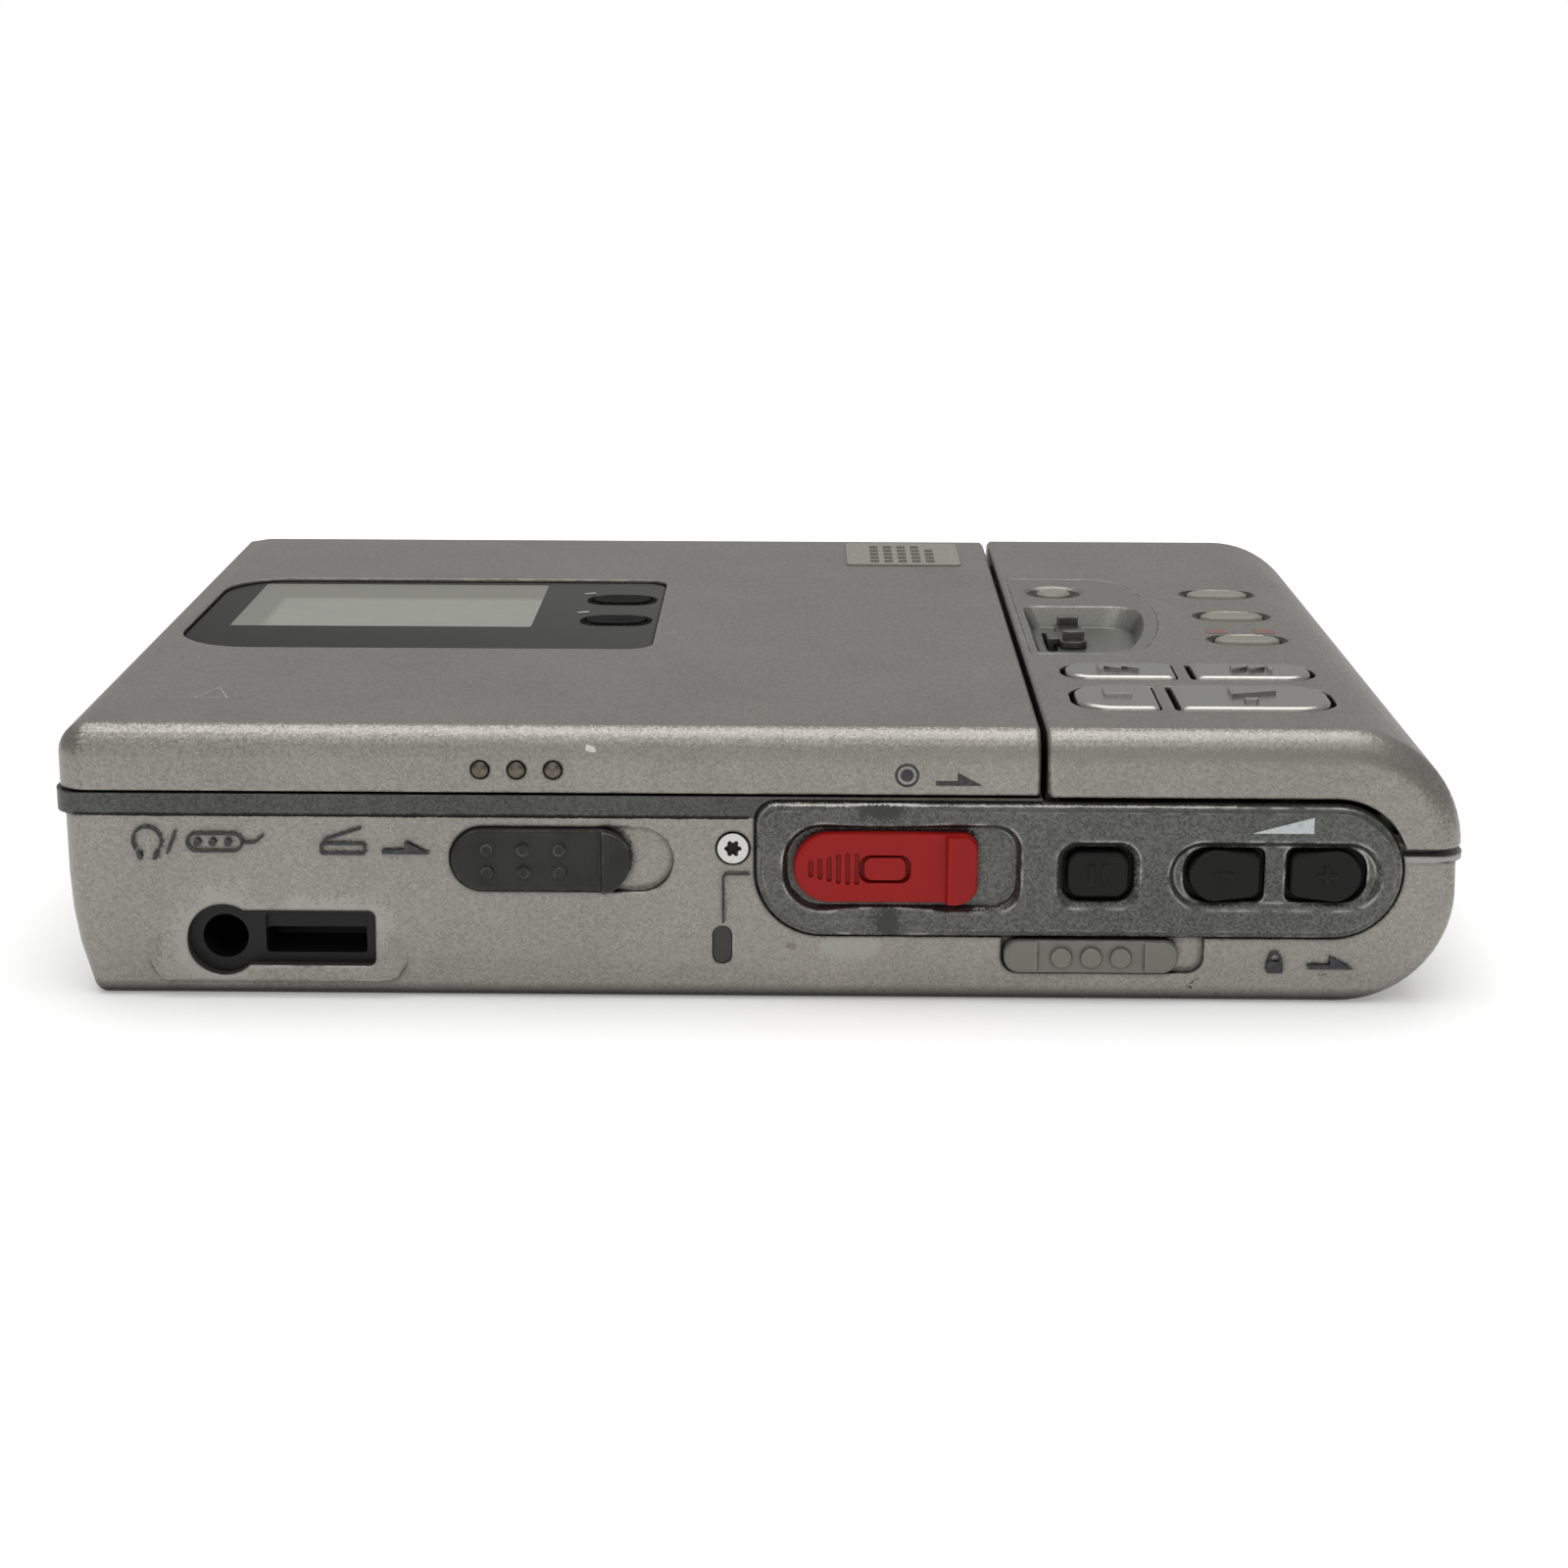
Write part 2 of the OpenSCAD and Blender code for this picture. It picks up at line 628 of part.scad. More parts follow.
module mid_frame() {
  color("dimgray") difference() {
    union() {
      band_ring(x_left, rib_x1, lower_h, band_z1, [edge_r, 0.1, 0.1, edge_r]);
      // thin band under the deck cover
      translate([0, 0, deck_split]) linear_extrude(deck_band_h) difference() {
        soft_rect(rib_x0, y_front, deck_x1 + 0.1, y_back, [0.1, edge_r, edge_r, 0.1]);
        soft_rect(rib_x1, y_front + 1.8, deck_x1 - 1.9, y_back - 1.8, [0.2, 1, 1, 0.2]);
      }
      // inner lip that closes the gap under the deck cover
      translate([0, 0, deck_split]) linear_extrude(deck_band_h + deck_gap + 0.9) difference() {
        soft_rect(rib_x0, y_front + wall + 0.15, deck_x1 - wall - 0.15, y_back - wall - 0.15, [0.1,
          1.2, 1.2, 0.1]);
        soft_rect(rib_x1, y_front + 1.8, deck_x1 - 1.9, y_back - 1.8, [0.2, 1, 1, 0.2]);
        square([2 * deck_x0 + 2 * wall + 0.6, 2 * case_d], center = true);
      }
      // rib between the disc bay and the deck
      span([rib_x0, y_front, deck_split], [rib_x1, y_back, band_z1]);
      // posts of the case screws
      for (s = [-1, 1]) {
        translate([post_x, s * post_y, floor_t]) cylinder(h = lower_h - floor_t + 0.4, r = post_r);
        span([x_left + 1.2, s * post_y - 1, lower_h], [post_x, s * post_y + 1, lower_h + 0.4]);
      }
      // post of the front screw
      span([screw_x - 1.6, cave_y0, screw_z - 1.6], [screw_x + 1.6, cave_y0 + 2, band_z1]);
    }
    // room for the round back of the lid
    translate([0, hinge_y, hinge_z]) bar_x(x_left - 1, lid_w + 3, barrel_r + barrel_run);
    // seat of the control panel
    front_block(y_front - 2, panel_y1 - y_front + 2) panel_face(-seat_fit);
    span([panel_x0 + 4, y_front - 1, deck_split - 1], [panel_x1 - 1.5, panel_y1 + 2.5, lower_h + 0.2]);
    // screw holes
    for (s = [-1, 1])
      translate([post_x, s * post_y, floor_t - 1]) cylinder(h = 8, r = pilot_r - 0.05);
    translate([screw_x, 0, screw_z]) bar_y(cave_y0 - 1, 2.5, pilot_r - 0.05);
  }
  // ear that carries the left end of the hinge shaft
  color("dimgray") difference() {
    union() {
      translate([0, hinge_y, hinge_z]) bar_x(shaft_x0, ear_t, ear_r);
      span([shaft_x0, hinge_y - 1.4, lower_h], [shaft_x0 + ear_t, hinge_y + 0.6, hinge_z]);
    }
    translate([0, hinge_y, hinge_z]) bar_x(shaft_x0 - 1, ear_t + 2, shaft_r + seat_fit / 2);
  }
}

// Spindle shaped cutter that leaves an eye shaped dish
module eye_dish(w, d, depth) {
  big = (d * d / 4 / depth + depth) / 2;
  axis_up = big - depth;
  arc_r = (w * w / 4 + depth * depth) / (2 * depth);
  translate([0, 0, axis_up]) rotate([0, 90, 0]) rotate_extrude() intersection() {
    translate([big - arc_r, 0]) circle(arc_r, $fn = 96);
    translate([0, -w]) square([w, 2 * w]);
  }
}

// One key of a transport row, grown all round and pulled in at its ends; side -1 is the left key
module row_key(side, y, d, split, grow, gap) {
  h = d + 2 * grow;
  r = max(0.3, min(d * 0.42, 3) + grow);
  rib_x = split + side * (key_rib / 2 + key_play - grow);
  end_x = row_x + side * (row_w / 2 + grow);
  x0 = min(rib_x, end_x) + gap;
  x1 = max(rib_x, end_x) - (side > 0 ? gap : 0);
  soft_rect(x0, y - h / 2, x1, y + h / 2, side < 0 ? [r, 0.5, 0.5, r] : [0.5, r, r, 0.5]);
}

module deck_form() {
  hull() {
    translate([up_axis_x, 0, up_axis_z]) drum(round_up_r, case_d, edge_r);
    for (s = [-1, 1]) {
      translate([0, s * (y_back - edge_r), case_h - edge_r]) {
        rotate([0, 90, 0]) translate([0, 0, deck_x0 + 0.3]) cylinder(h = 9, r = edge_r, $fn = hull_fn);
        rotate([0, 90, 0]) translate([0, 0, deck_x0]) cylinder(h = 9, r = edge_r - 0.3, $fn = hull_fn);
      }
      translate([deck_x1 - edge_r, s * (y_back - edge_r), cover_z0 - 1]) cylinder(h = 1, r = edge_r,
        $fn = hull_fn);
      translate([deck_x0 + 1, s * (y_back - 1.3), cover_z0 - 1]) cylinder(h = 1, r = 1, $fn = hull_fn);
      translate([deck_x0 + 1.3, s * (y_back - 1), cover_z0 - 1]) cylinder(h = 1, r = 1, $fn = hull_fn);
    }
  }
}

module deck_cover() {
  in_x0 = deck_x0 + wall;
  in_r = round_up_r - wall;
  color("silver") difference() {
    union() {
      difference() {
        deck_form();
        span([deck_x0 - 1, y_front - 1, 0], [x_right + 1, y_back + 1, cover_z0]);
        span([in_x0, y_front + wall, 0], [up_axis_x, y_back - wall, deck_under_z]);
        translate([up_axis_x, 0, up_axis_z]) bar_y(y_front + wall, case_d - 2 * wall, in_r);
        span([up_axis_x, y_front + wall, 0], [deck_x1 - wall, y_back - wall, up_axis_z]);
      }
      // posts that hold the key board
      for (p = [[in_x0 + 1.4, y_front + 17], [deck_x1 - 6.5, y_front + 17], [deck_x1 - 6.5,
        y_front + 62]])
        translate([p[0], p[1], key_board_z + key_board_t])
          cylinder(h = deck_under_z - key_board_z - key_board_t + 0.1, r = 1);
      // post of the case screw
      translate([deck_post_x, deck_post_y, floor_t]) cylinder(h = key_board_z - floor_t, r = post_r);
      translate([deck_post_x, deck_post_y, floor_t + 6]) cylinder(h = deck_under_z - floor_t - 5.9,
        r = 0.9);
    }
    // room for the control panel
    front_block(y_front - 2, wall + 3) panel_face(-cover_panel_gap);
    // transport keys
    for (side = [-1, 1]) translate([0, 0, deck_under_z - 1]) linear_extrude(3) {
      row_key(side, rear_row_y, rear_key_d, rear_split_x, key_play, 0);
      row_key(side, front_row_y, front_row_d, front_split_x, key_play, 0);
    }
    // oval keys in their dishes
    for (i = [-1, 0, 1]) translate([oval_x, oval_y + i * oval_pitch, 0]) {
      translate([0, 0, case_h]) eye_dish(oval_dish_w, oval_dish_d, dish_h);
      translate([0, 0, deck_under_z - 1]) linear_extrude(3)
        slot(0, 0, oval_w + 2 * key_play, oval_d + 2 * key_play);
    }
    // jog insert
    translate([0, 0, case_h - jog_plate_t]) linear_extrude(2) jog_outline(seat_fit, seat_fit);
    translate([0, 0, jog_floor_z - jog_floor_t - 0.2]) linear_extrude(5) jog_outline(-0.2, -0.6);
    // right end of the hinge shaft
    translate([0, hinge_y, hinge_z]) bar_x(deck_x0 - 1, wall + 2, shaft_r + seat_fit / 2);
    // case screw
    translate([deck_post_x, deck_post_y, floor_t - 1]) cylinder(h = 7, r = pilot_r - 0.05);
  }
}

// Outline of the jog insert: straight beside the lid, bowed on the right with softly turned corners
module jog_outline(grow, bow_grow) {
  intersection() {
    soft_rect(jog_x0 - grow, jog_y0 - grow, jog_x0 + jog_w + grow, jog_y1 + grow, [0.5, 0.5, 0.5, 0.5]);
    translate([jog_x0 + jog_w - jog_bow_r, jog_mid_y]) circle(jog_bow_r + bow_grow, $fn = 240);
    translate([jog_x0 + jog_w - 16.2, jog_mid_y - 1]) circle(jog_corner_r + bow_grow, $fn = 120);
  }
}

// Outline of the well in the front half of the insert
module jog_well(inset) {
  intersection() {
    jog_outline(-jog_rim - inset, -2 * jog_rim - inset);
    soft_rect(jog_x0 + jog_rim + inset, jog_y0, jog_x0 + jog_w - 2 * jog_rim - inset, jog_well_y1 - inset,
      [0.5, 0.5, 3, 1.2]);
  }
}

module jog_insert() {
  color("darkgray") difference() {
    union() {
      translate([0, 0, case_h - jog_plate_t]) linear_extrude(jog_plate_t) jog_outline(0, 0);
      // tub of the well
      translate([0, 0, jog_floor_z - jog_floor_t]) linear_extrude(jog_well_d + jog_floor_t - 0.4)
        jog_well(-0.3);
      // guide of the round key
      translate([round_x, round_y, deck_under_z]) cylinder(h = deck_top_t - 0.4, r = 3.2);
    }
    // well with slanted sides
    hull() {
      translate([0, 0, case_h]) linear_extrude(0.1) jog_well(0);
      translate([0, 0, jog_floor_z]) linear_extrude(0.1) jog_well(0.9);
    }
    translate([0, 0, jog_floor_z - jog_floor_t - 1]) linear_extrude(5)
      slot(jog_slot_x, jog_slot_y, jog_slot_w, jog_slot_l);
    // dish and hole of the round key
    translate([round_x, round_y, case_h - dish_h + round_dish_r]) sphere(round_dish_r, $fn = 96);
    translate([round_x, round_y, deck_under_z - 2]) cylinder(h = 5, r = round_key_d / 2 + key_play);
  }
}

module control_panel() {
  color("dimgray") difference() {
    soft_front(panel_y0, panel_t, panel_edge) {
      panel_face(0);
      panel_face(panel_edge * 0.35);
      panel_face(panel_edge);
    }
    // thumb hollow across the record slider
    translate([lock_x, panel_y0 - 24.6, panel_z - 1]) cylinder(h = panel_h + 2, r = 25, $fn = 200);
    // record slider
    sunk(front_well_d) {
      rec_well(0.35);
      rec_well(0);
    }
    front_block(panel_y0 - 0.1, 0.1 + recess_d) rec_well(0);
    front_block(panel_y0 - 1, panel_t + 2)
      slot(rec_x0 + rec_w / 2 + rec_travel / 2, rec_mid_z, rec_w * 0.4 + rec_travel + 4 * knob_play,
      stem_h + 2 * knob_play);
    // pause key
    sunk(front_well_d) {
      pause_face(-front_key_gap - 0.5);
      pause_face(-front_key_gap);
    }
    front_block(panel_y0 - 1, panel_t + 2) pause_face(-front_key_gap);
    // volume keys
    sunk(front_well_d) {
      slot((minus_x + plus_x) / 2, front_key_z, plus_x - minus_x + volume_w + 3.2, front_key_h + 1.9);
      slot((minus_x + plus_x) / 2, front_key_z, plus_x - minus_x + volume_w + 2.2, front_key_h + 0.9);
    }
    front_block(panel_y0 - 1, panel_t + 2) volume_face(minus_x, 1, front_key_gap);
    front_block(panel_y0 - 1, panel_t + 2) volume_face(plus_x, -1, front_key_gap);
  }
}

// A well in the panel with slanted sides, from its outline in the face to its outline at the floor
module sunk(depth) {
  hull() {
    front_block(panel_y0 - 0.1, 0.1) children(0);
    front_block(panel_y0 + depth - 0.1, 0.1) children(1);
  }
}

module rec_well(grow) {
  r = rec_h / 2 + grow;
  soft_rect(rec_x0 - 0.55 - grow, rec_mid_z - rec_h / 2 - 0.5 - grow,
    rec_x0 + rec_w + rec_travel + 0.5 + grow, rec_mid_z + rec_h / 2 + 0.35 + grow, [r, 2, 2, r]);
}

module volume_face(x, side, grow) {
  big = 1.8;
  small = 0.7;
  a = side > 0 ? big : small;
  b = side > 0 ? small : big;
  soft_rect(x - volume_w / 2 - grow, front_key_z - front_key_h / 2 - grow, x + volume_w / 2 + grow,
    front_key_z + front_key_h / 2 + grow, [a, b, b, a]);
}

module front_socket() {
  color("#181818") difference() {
    union() {
      span([jack_x - 3.3, jack_face_y, board_top_z + seat_fit],
        [jack_x + remote_w + 1, jack_face_y + jack_l, socket_top_z - seat_fit]);
    }
    translate([jack_x, 0, jack_z]) bar_y(jack_face_y - 1, jack_l - 0.5, jack_r);
    // narrow remote control contact slot
    front_block(jack_face_y - 1, 6)
      soft_rect(jack_x + 3.2, remote_z - 1.5, jack_x + remote_w - 0.8, remote_z + 0.45, [0.3, 0.3, 0.3,
        0.3]);
    front_block(jack_face_y - 1, 1.6)
      soft_rect(jack_x + 3.2, remote_z - 1.5, jack_x + remote_w - 0.8, remote_z + 1.7, [0.3, 0.3, 0.3,
        0.3]);
  }
}

module rear_socket(x, hole_r) {
  difference() {
    span([x - 3.2, socket_hole_y - jack_l, board_top_z + seat_fit], [x + 3.2, socket_hole_y,
      socket_top_z - seat_fit]);
    translate([x, 0, jack_z]) bar_y(socket_hole_y - jack_l + 1.5, jack_l + 2, hole_r);
  }
}

module mic_socket() {
  color("#181818") rear_socket(mic_x, jack_r);
}

module line_socket() {
  color("#181818") rear_socket(line_x, jack_r);
}

module power_socket() {
  color("#181818") union() {
    rear_socket(power_x, 2.1);
    translate([power_x, 0, jack_z]) bar_y(socket_hole_y - jack_l + 1, jack_l - 2.5, power_pin_r);
  }
}

module screw_body(shank) {
  difference() {
    union() {
      cylinder(h = head_h, r = head_r - 0.15);
      cylinder(h = head_h + shank, r = pilot_r - 0.1);
    }
    // six lobed drive
    translate([0, 0, -0.1]) linear_extrude(0.5) {
      circle(0.46);
      for (a = [0 : 60 : 300]) rotate(a) translate([0.5, 0]) circle(0.17, $fn = 24);
    }
  }
}

module front_screw() {
  color("gainsboro") translate([screw_x, y_front - 0.1, screw_z]) rotate([-90, 0, 0])
    screw_body(front_wall + 0.9);
}

module case_screws() {
  color("gainsboro") for (p = case_screw_pts) translate([p[0], p[1], head_sink]) screw_body(5);
}

module record_lamp() {
  color("#3a3a3a") front_block(y_front + 0.1, front_wall + 0.4) slot(lamp_x, lamp_z, lamp_w, lamp_h);
}

module main_board() {
  color("darkgreen") translate([0, 0, board_z]) linear_extrude(board_t) difference() {
    soft_rect(cave_x0 + 0.4, cave_y0 + 0.6, rib_x1, cave_y1 - 0.4, [1, 1, 1, 1]);
    for (p = damper_pts) translate(p) circle(damper_post_r + 0.3);
    for (s = [-1, 1]) translate([post_x, s * post_y]) circle(post_r + 0.3);
  }
}

module board_chips() {
  color("#202020") for (c = [[-14, -22, 12, 12], [3, -20, 9, 7], [-34, -6, 10, 14], [-30, 14, 8, 8],
    [8, 26, 7, 10]])
    translate([disc_x + 16.7 + c[0], c[1], board_top_z + chip_h / 2]) cube([c[2], c[3], chip_h],
      center = true);
}

// The pressed deck plate with its windows and bent tabs
module deck_plate() {
  x0 = cave_x0 + 0.8;
  x1 = drive_end_x;
  color("lightgray") difference() {
    union() {
      translate([0, 0, plate_z]) linear_extrude(plate_t) difference() {
        soft_rect(x0, cave_y0 + 2.5, x1, cave_y1 - 3, [2, 2, 2, 2]);
        for (s = [-1, 1]) translate([post_x, s * post_y]) circle(post_r + 0.6);
        translate([disc_x, disc_y]) circle(rotor_r + 0.6);
        // window of the sled
        soft_rect(drive_x + 2.2, disc_y - rod_gap - 2.6, x1 - 1.4, disc_y + rod_gap + 2.4, [1, 1, 1, 1]);
        // window of the gears, screw and drive motor
        soft_rect(drive_x - 3, screw_y - 3.4, x1 - 1.4, screw_y + 3.4, [1, 1, 1, 1]);
        soft_rect(drive_x - 3, screw_y - 3.4, drive_x + drive_motor_l + 1.4,
          pinion_y + drive_motor_r + 0.6,
          [1, 1, 1, 1]);
        // lightening windows
        soft_pad(disc_x - 22, disc_y + 8, 12, 18, 3);
        soft_pad(disc_x - 22, disc_y - 18, 14, 14, 3);
        for (p = damper_pts) translate(p) circle(damper_r + seat_fit);
      }
      // tabs of the rods
      for (s = [-1, 1]) for (x = [drive_x, x1 - tab_t])
        span([x, disc_y + s * rod_gap - 1.8, rod_z - 1.6], [x + tab_t, disc_y + s * rod_gap + 1.8,
          plate_z + 0.1]);
      // bridges that carry the left tabs
      for (s = [-1, 1]) span([drive_x - 2.4, disc_y + s * rod_gap - 1.8, plate_z],
        [drive_x + tab_t + 1.9, disc_y + s * rod_gap + 1.8, plate_z + plate_t]);
      // bracket of the gears and the drive motor
      span([drive_x, screw_y - 1.9, rod_z - 2.6], [drive_x + tab_t, pinion_y + 2.8, plate_z + plate_t]);
      span([drive_x, pinion_y + 2.6, plate_z], [drive_x + tab_t, pinion_y + 5, plate_z + plate_t]);
      // tab of the far end of the lead screw
      span([x1 - tab_t, screw_y - 1.6, rod_z - 1.6], [x1, screw_y + 1.6, plate_z + plate_t]);
    }
    for (s = [-1, 1])
      translate([0, disc_y + s * rod_gap, rod_z]) bar_x(drive_x - 1, x1 - drive_x + 2,
        rod_r + seat_fit / 2);
    translate([0, screw_y, rod_z]) {
      bar_x(drive_x - 1, 3, screw_r + run_fit);
      bar_x(x1 - 2, 3, screw_r - 0.3 + run_fit);
    }
    translate([0, idler_y, rod_z]) bar_x(drive_x - 1, 3, pinion_shaft_r + run_fit);
    translate([0, pinion_y, rod_z]) bar_x(drive_x - 1, 3, pinion_shaft_r + run_fit);
  }
}

module damper_bushes() {
  color("#303030") for (p = damper_pts) translate([p[0], p[1], plate_z]) difference() {
    union() {
      translate([0, 0, -0.8]) cylinder(h = 0.8, r = damper_r + 0.7);
      cylinder(h = plate_t, r = damper_r);
      translate([0, 0, plate_t]) cylinder(h = 0.8, r = damper_r + 0.7);
    }
    translate([0, 0, -2]) cylinder(h = 6, r = damper_post_r + seat_fit);
  }
}

module deck_screws() {
  color("gainsboro") for (p = damper_pts) translate([p[0], p[1], plate_z + plate_t + 0.9]) {
    difference() {
      cylinder(h = 0.6, r = 1.8);
      for (a = [0, 90]) rotate([0, 0, a]) translate([-0.9, -0.2, 0.3]) cube([1.8, 0.4, 0.5]);
    }
    translate([0, 0, -2.5]) cylinder(h = 2.6, r = pilot_r - 0.05);
  }
}

module spindle_motor() {
  color("slategray") difference() {
    union() {
      translate([disc_x, disc_y, plate_z - 0.8]) cylinder(h = 0.8, r = motor_r);
      translate([disc_x, disc_y, plate_z - 2.8]) cylinder(h = 2.1, r = rotor_r - 1.2);
    }
    translate([disc_x, disc_y, plate_z - 4]) cylinder(h = 6, r = spindle_r + run_fit);
    // flat that clears the sled
    span([sled_x0 - 0.5, disc_y - motor_r, plate_z - 4], [disc_x + motor_r + 1, disc_y + motor_r,
      plate_z + 1]);
  }
}

module turntable() {
  color("gainsboro") translate([disc_x, disc_y, 0]) difference() {
    union() {
      translate([0, 0, rotor_z]) cylinder(h = rotor_h, r = rotor_r);
      translate([0, 0, rotor_z + rotor_h - 0.1]) cylinder(h = table_top_z - rotor_z - rotor_h + 0.1,
        r = table_r);
      translate([0, 0, table_top_z - 0.1]) cylinder(h = 0.6, r1 = hub_r, r2 = hub_r - 0.2);
      translate([0, 0, plate_z - 2.4]) cylinder(h = 3, r = spindle_r);
    }
    // ring groove of the magnet
    translate([0, 0, table_top_z - 0.4]) difference() {
      cylinder(h = 1, r = table_r - 0.8);
      translate([0, 0, -1]) cylinder(h = 3, r = hub_r + 0.9);
    }
    // marks round the rotor
    for (a = [0 : 60 : 300])
      rotate([0, 0, a]) translate([rotor_r - 1.6, 0, rotor_z + rotor_h - 0.4]) cylinder(h = 1, r = 0.7);
  }
}

module guide_rods() {
  color("silver") for (s = [-1, 1])
    translate([0, disc_y + s * rod_gap, rod_z]) bar_x(drive_x, drive_end_x - drive_x, rod_r);
}

module optical_sled() {
  y0 = disc_y - rod_gap - 1.4;
  y1 = disc_y + rod_gap + 1.5;
  color("#2b2b2e") difference() {
    union() {
      span([sled_x0, y0, sled_z0], [sled_x0 + sled_l, y1, rod_z + 1.3]);
      span([sled_x0 + 1.2, disc_y - 7, sled_z0], [sled_x0 + sled_l - 1, disc_y + 7.5, sled_z1]);
      // nut that rides on the lead screw
      translate([0, screw_y, rod_z]) bar_x(sled_x0 + 4, 3, screw_r + 0.9);
      span([sled_x0 + 4, y1 - 0.5, rod_z - 0.8], [sled_x0 + 7, screw_y - screw_r, rod_z + 0.8]);
    }
    translate([0, disc_y + rod_gap, rod_z]) bar_x(sled_x0 - 1, sled_l + 2, rod_r + run_fit);
    // open fork on the front rod
    span([sled_x0 - 1, y0 - 1, rod_z - rod_r - run_fit],
      [sled_x0 + sled_l + 1, disc_y - rod_gap + rod_r + 0.3, rod_z + rod_r + run_fit]);
    translate([0, screw_y, rod_z]) bar_x(sled_x0 + 3, 5, screw_r + 0.08);
    // well of the lens
    translate([lens_x, disc_y, sled_z1 - 1]) cylinder(h = 3, r = 2.4);
    // slots of the lens actuator
    for (s = [-1, 1])
      span([lens_x - 3, disc_y + s * 4.6 - 0.6, sled_z1 - 0.8], [lens_x + 3, disc_y + s * 4.6 + 0.6,
        sled_z1 + 1]);
  }
}

module objective_lens() {
  dome = 3.2;
  color("lightblue") translate([lens_x, disc_y, sled_z1 - 1]) difference() {
    union() {
      cylinder(h = 1.1, r = 2.3);
      intersection() {
        translate([0, 0, 1.5 - dome]) sphere(dome, $fn = 64);
        cylinder(h = 3, r = 1.6);
      }
    }
    translate([0, 0, -1]) cylinder(h = 1.4, r = 1);
  }
}

// Point on the involute of a base circle
function involute(rb, t) = [rb * (cos(t) + t * PI / 180 * sin(t)), rb * (sin(t) - t * PI / 180 * cos(t))];
function turned(p, a) = [p[0] * cos(a) - p[1] * sin(a), p[0] * sin(a) + p[1] * cos(a)];
function inv_deg(a) = tan(a) * 180 / PI - a;

// Flat outline of a small spur gear with some play between the teeth
module gear_outline(teeth) {
  press = 20;
  rp = gear_module * teeth / 2;
  rb = rp * cos(press);
  ra = rp + gear_module * 0.85;
  rf = rp - gear_module * 1.15;
  play = 7 / teeth;
  half = 90 / teeth + inv_deg(press) - play;
  t_top = acos(rb / ra);
  t_low = rf > rb ? acos(rb / rf) : 0;
  steps = 4;
  flank = [for (i = [0 : steps]) let (a = t_low + (t_top - t_low) * i / steps) involute(rb,
    tan(a) * 180 / PI)];
  points = [for (k = [0 : teeth - 1]) each concat( [turned([rf, 0], k * 360 / teeth - half)],
    [for (p = flank) turned(p, k * 360 / teeth - half)],
    [for (i = [steps : -1 : 0]) turned([flank[i][0], -flank[i][1]], k * 360 / teeth + half)],
    [turned([rf, 0], k * 360 / teeth + half)])];
  polygon(points);
}

module gear_x(x, y, teeth, turn) {
  translate([x, y, rod_z]) rotate([90, 0, 90]) rotate([0, 0, turn]) linear_extrude(gear_t)
    gear_outline(teeth);
}

module lead_screw() {
  color("silver") {
    translate([0, screw_y, rod_z]) {
      bar_x(drive_x - 1.7, drive_end_x - drive_x + 1.1, screw_r);
      bar_x(drive_end_x - 2, 2, screw_r - 0.3);
    }
    gear_x(drive_x - 1.6, screw_y, screw_teeth, 0);
  }
}

module idler_gear() {
  color("ivory") union() {
    gear_x(drive_x - 1.6, idler_y, idler_teeth, idler_teeth % 2 == 0 ? 180 / idler_teeth : 0);
    translate([0, idler_y, rod_z]) bar_x(drive_x - 1.6, 1.6 + tab_t - 0.05, pinion_shaft_r);
  }
}

module pinion_gear() {
  color("goldenrod") union() {
    gear_x(drive_x - 1.6, pinion_y, pinion_teeth, 0);
    translate([0, pinion_y, rod_z]) bar_x(drive_x - 1.8, 3.4 + tab_t, pinion_shaft_r);
  }
}

module sled_motor() {
  color("lightgray") translate([0, pinion_y, rod_z]) difference() {
    bar_x(drive_x + tab_t, drive_motor_l, drive_motor_r);
    bar_x(drive_x, 3 + tab_t, pinion_shaft_r + run_fit);
  }
}

module battery() {
  color("#4a5560") translate([0, battery_y0, 0]) front_block(0, battery_l)
    soft_pad(battery_x, battery_z + battery_h / 2, battery_w, battery_h, 1.2);
}

module battery_contacts() {
  color("gold") for (s = [-1, 1]) {
    span([battery_x + s * 7 - 2, battery_y0 - 1.4, floor_t], [battery_x + s * 7 + 2, battery_y0 - 0.9,
      battery_z + 6]);
    span([battery_x + s * 7 - 1, battery_y0 - 1, battery_z + 3], [battery_x + s * 7 + 1, battery_y0,
      battery_z + 4.5]);
  }
}

module battery_door() {
  x0 = battery_x - door_w / 2;
  color("silver") {
    span([x0, y_back - door_t, door_axis_z], [x0 + door_w, y_back, door_z1]);
    translate([0, door_axis_y, door_axis_z]) {
      bar_x(x0, door_w, door_barrel_r);
      bar_x(x0 - door_pin_l, door_w + 2 * door_pin_l, door_pin_r);
    }
    // inner catch
    span([battery_x - 3, y_back - door_t - 0.3, door_z1 - 1.2], [battery_x + 3, y_back - door_t + 0.1,
      door_z1 - 0.4]);
  }
}

module key_board() {
  x0 = deck_x0 + wall + 0.3;
  color("darkgreen") difference() {
    translate([0, 0, key_board_z]) linear_extrude(key_board_t)
      soft_rect(x0, y_front + 6, deck_x1 - 5, y_front + 66, [1, 1, 1, 1]);
    translate([deck_post_x, deck_post_y, 0]) cylinder(h = case_h, r = 1.1);
  }
  // snap domes under the keys
  for (p = key_points)
    color("darkgreen") translate([p[0], p[1], key_board_z + key_board_t - 0.05])
      cylinder(h = dome_h + 0.05, r = 1);
}

key_points = [[(row_x - row_w / 2 + rear_split_x) / 2, rear_row_y],
  [(row_x + row_w / 2 + rear_split_x) / 2, rear_row_y],
  [(row_x - row_w / 2 + front_split_x) / 2, front_row_y],
  [(row_x + row_w / 2 + front_split_x) / 2 + 2, front_row_y],
  [oval_x, oval_y - oval_pitch], [oval_x, oval_y], [oval_x, oval_y + oval_pitch], [round_x, round_y]];

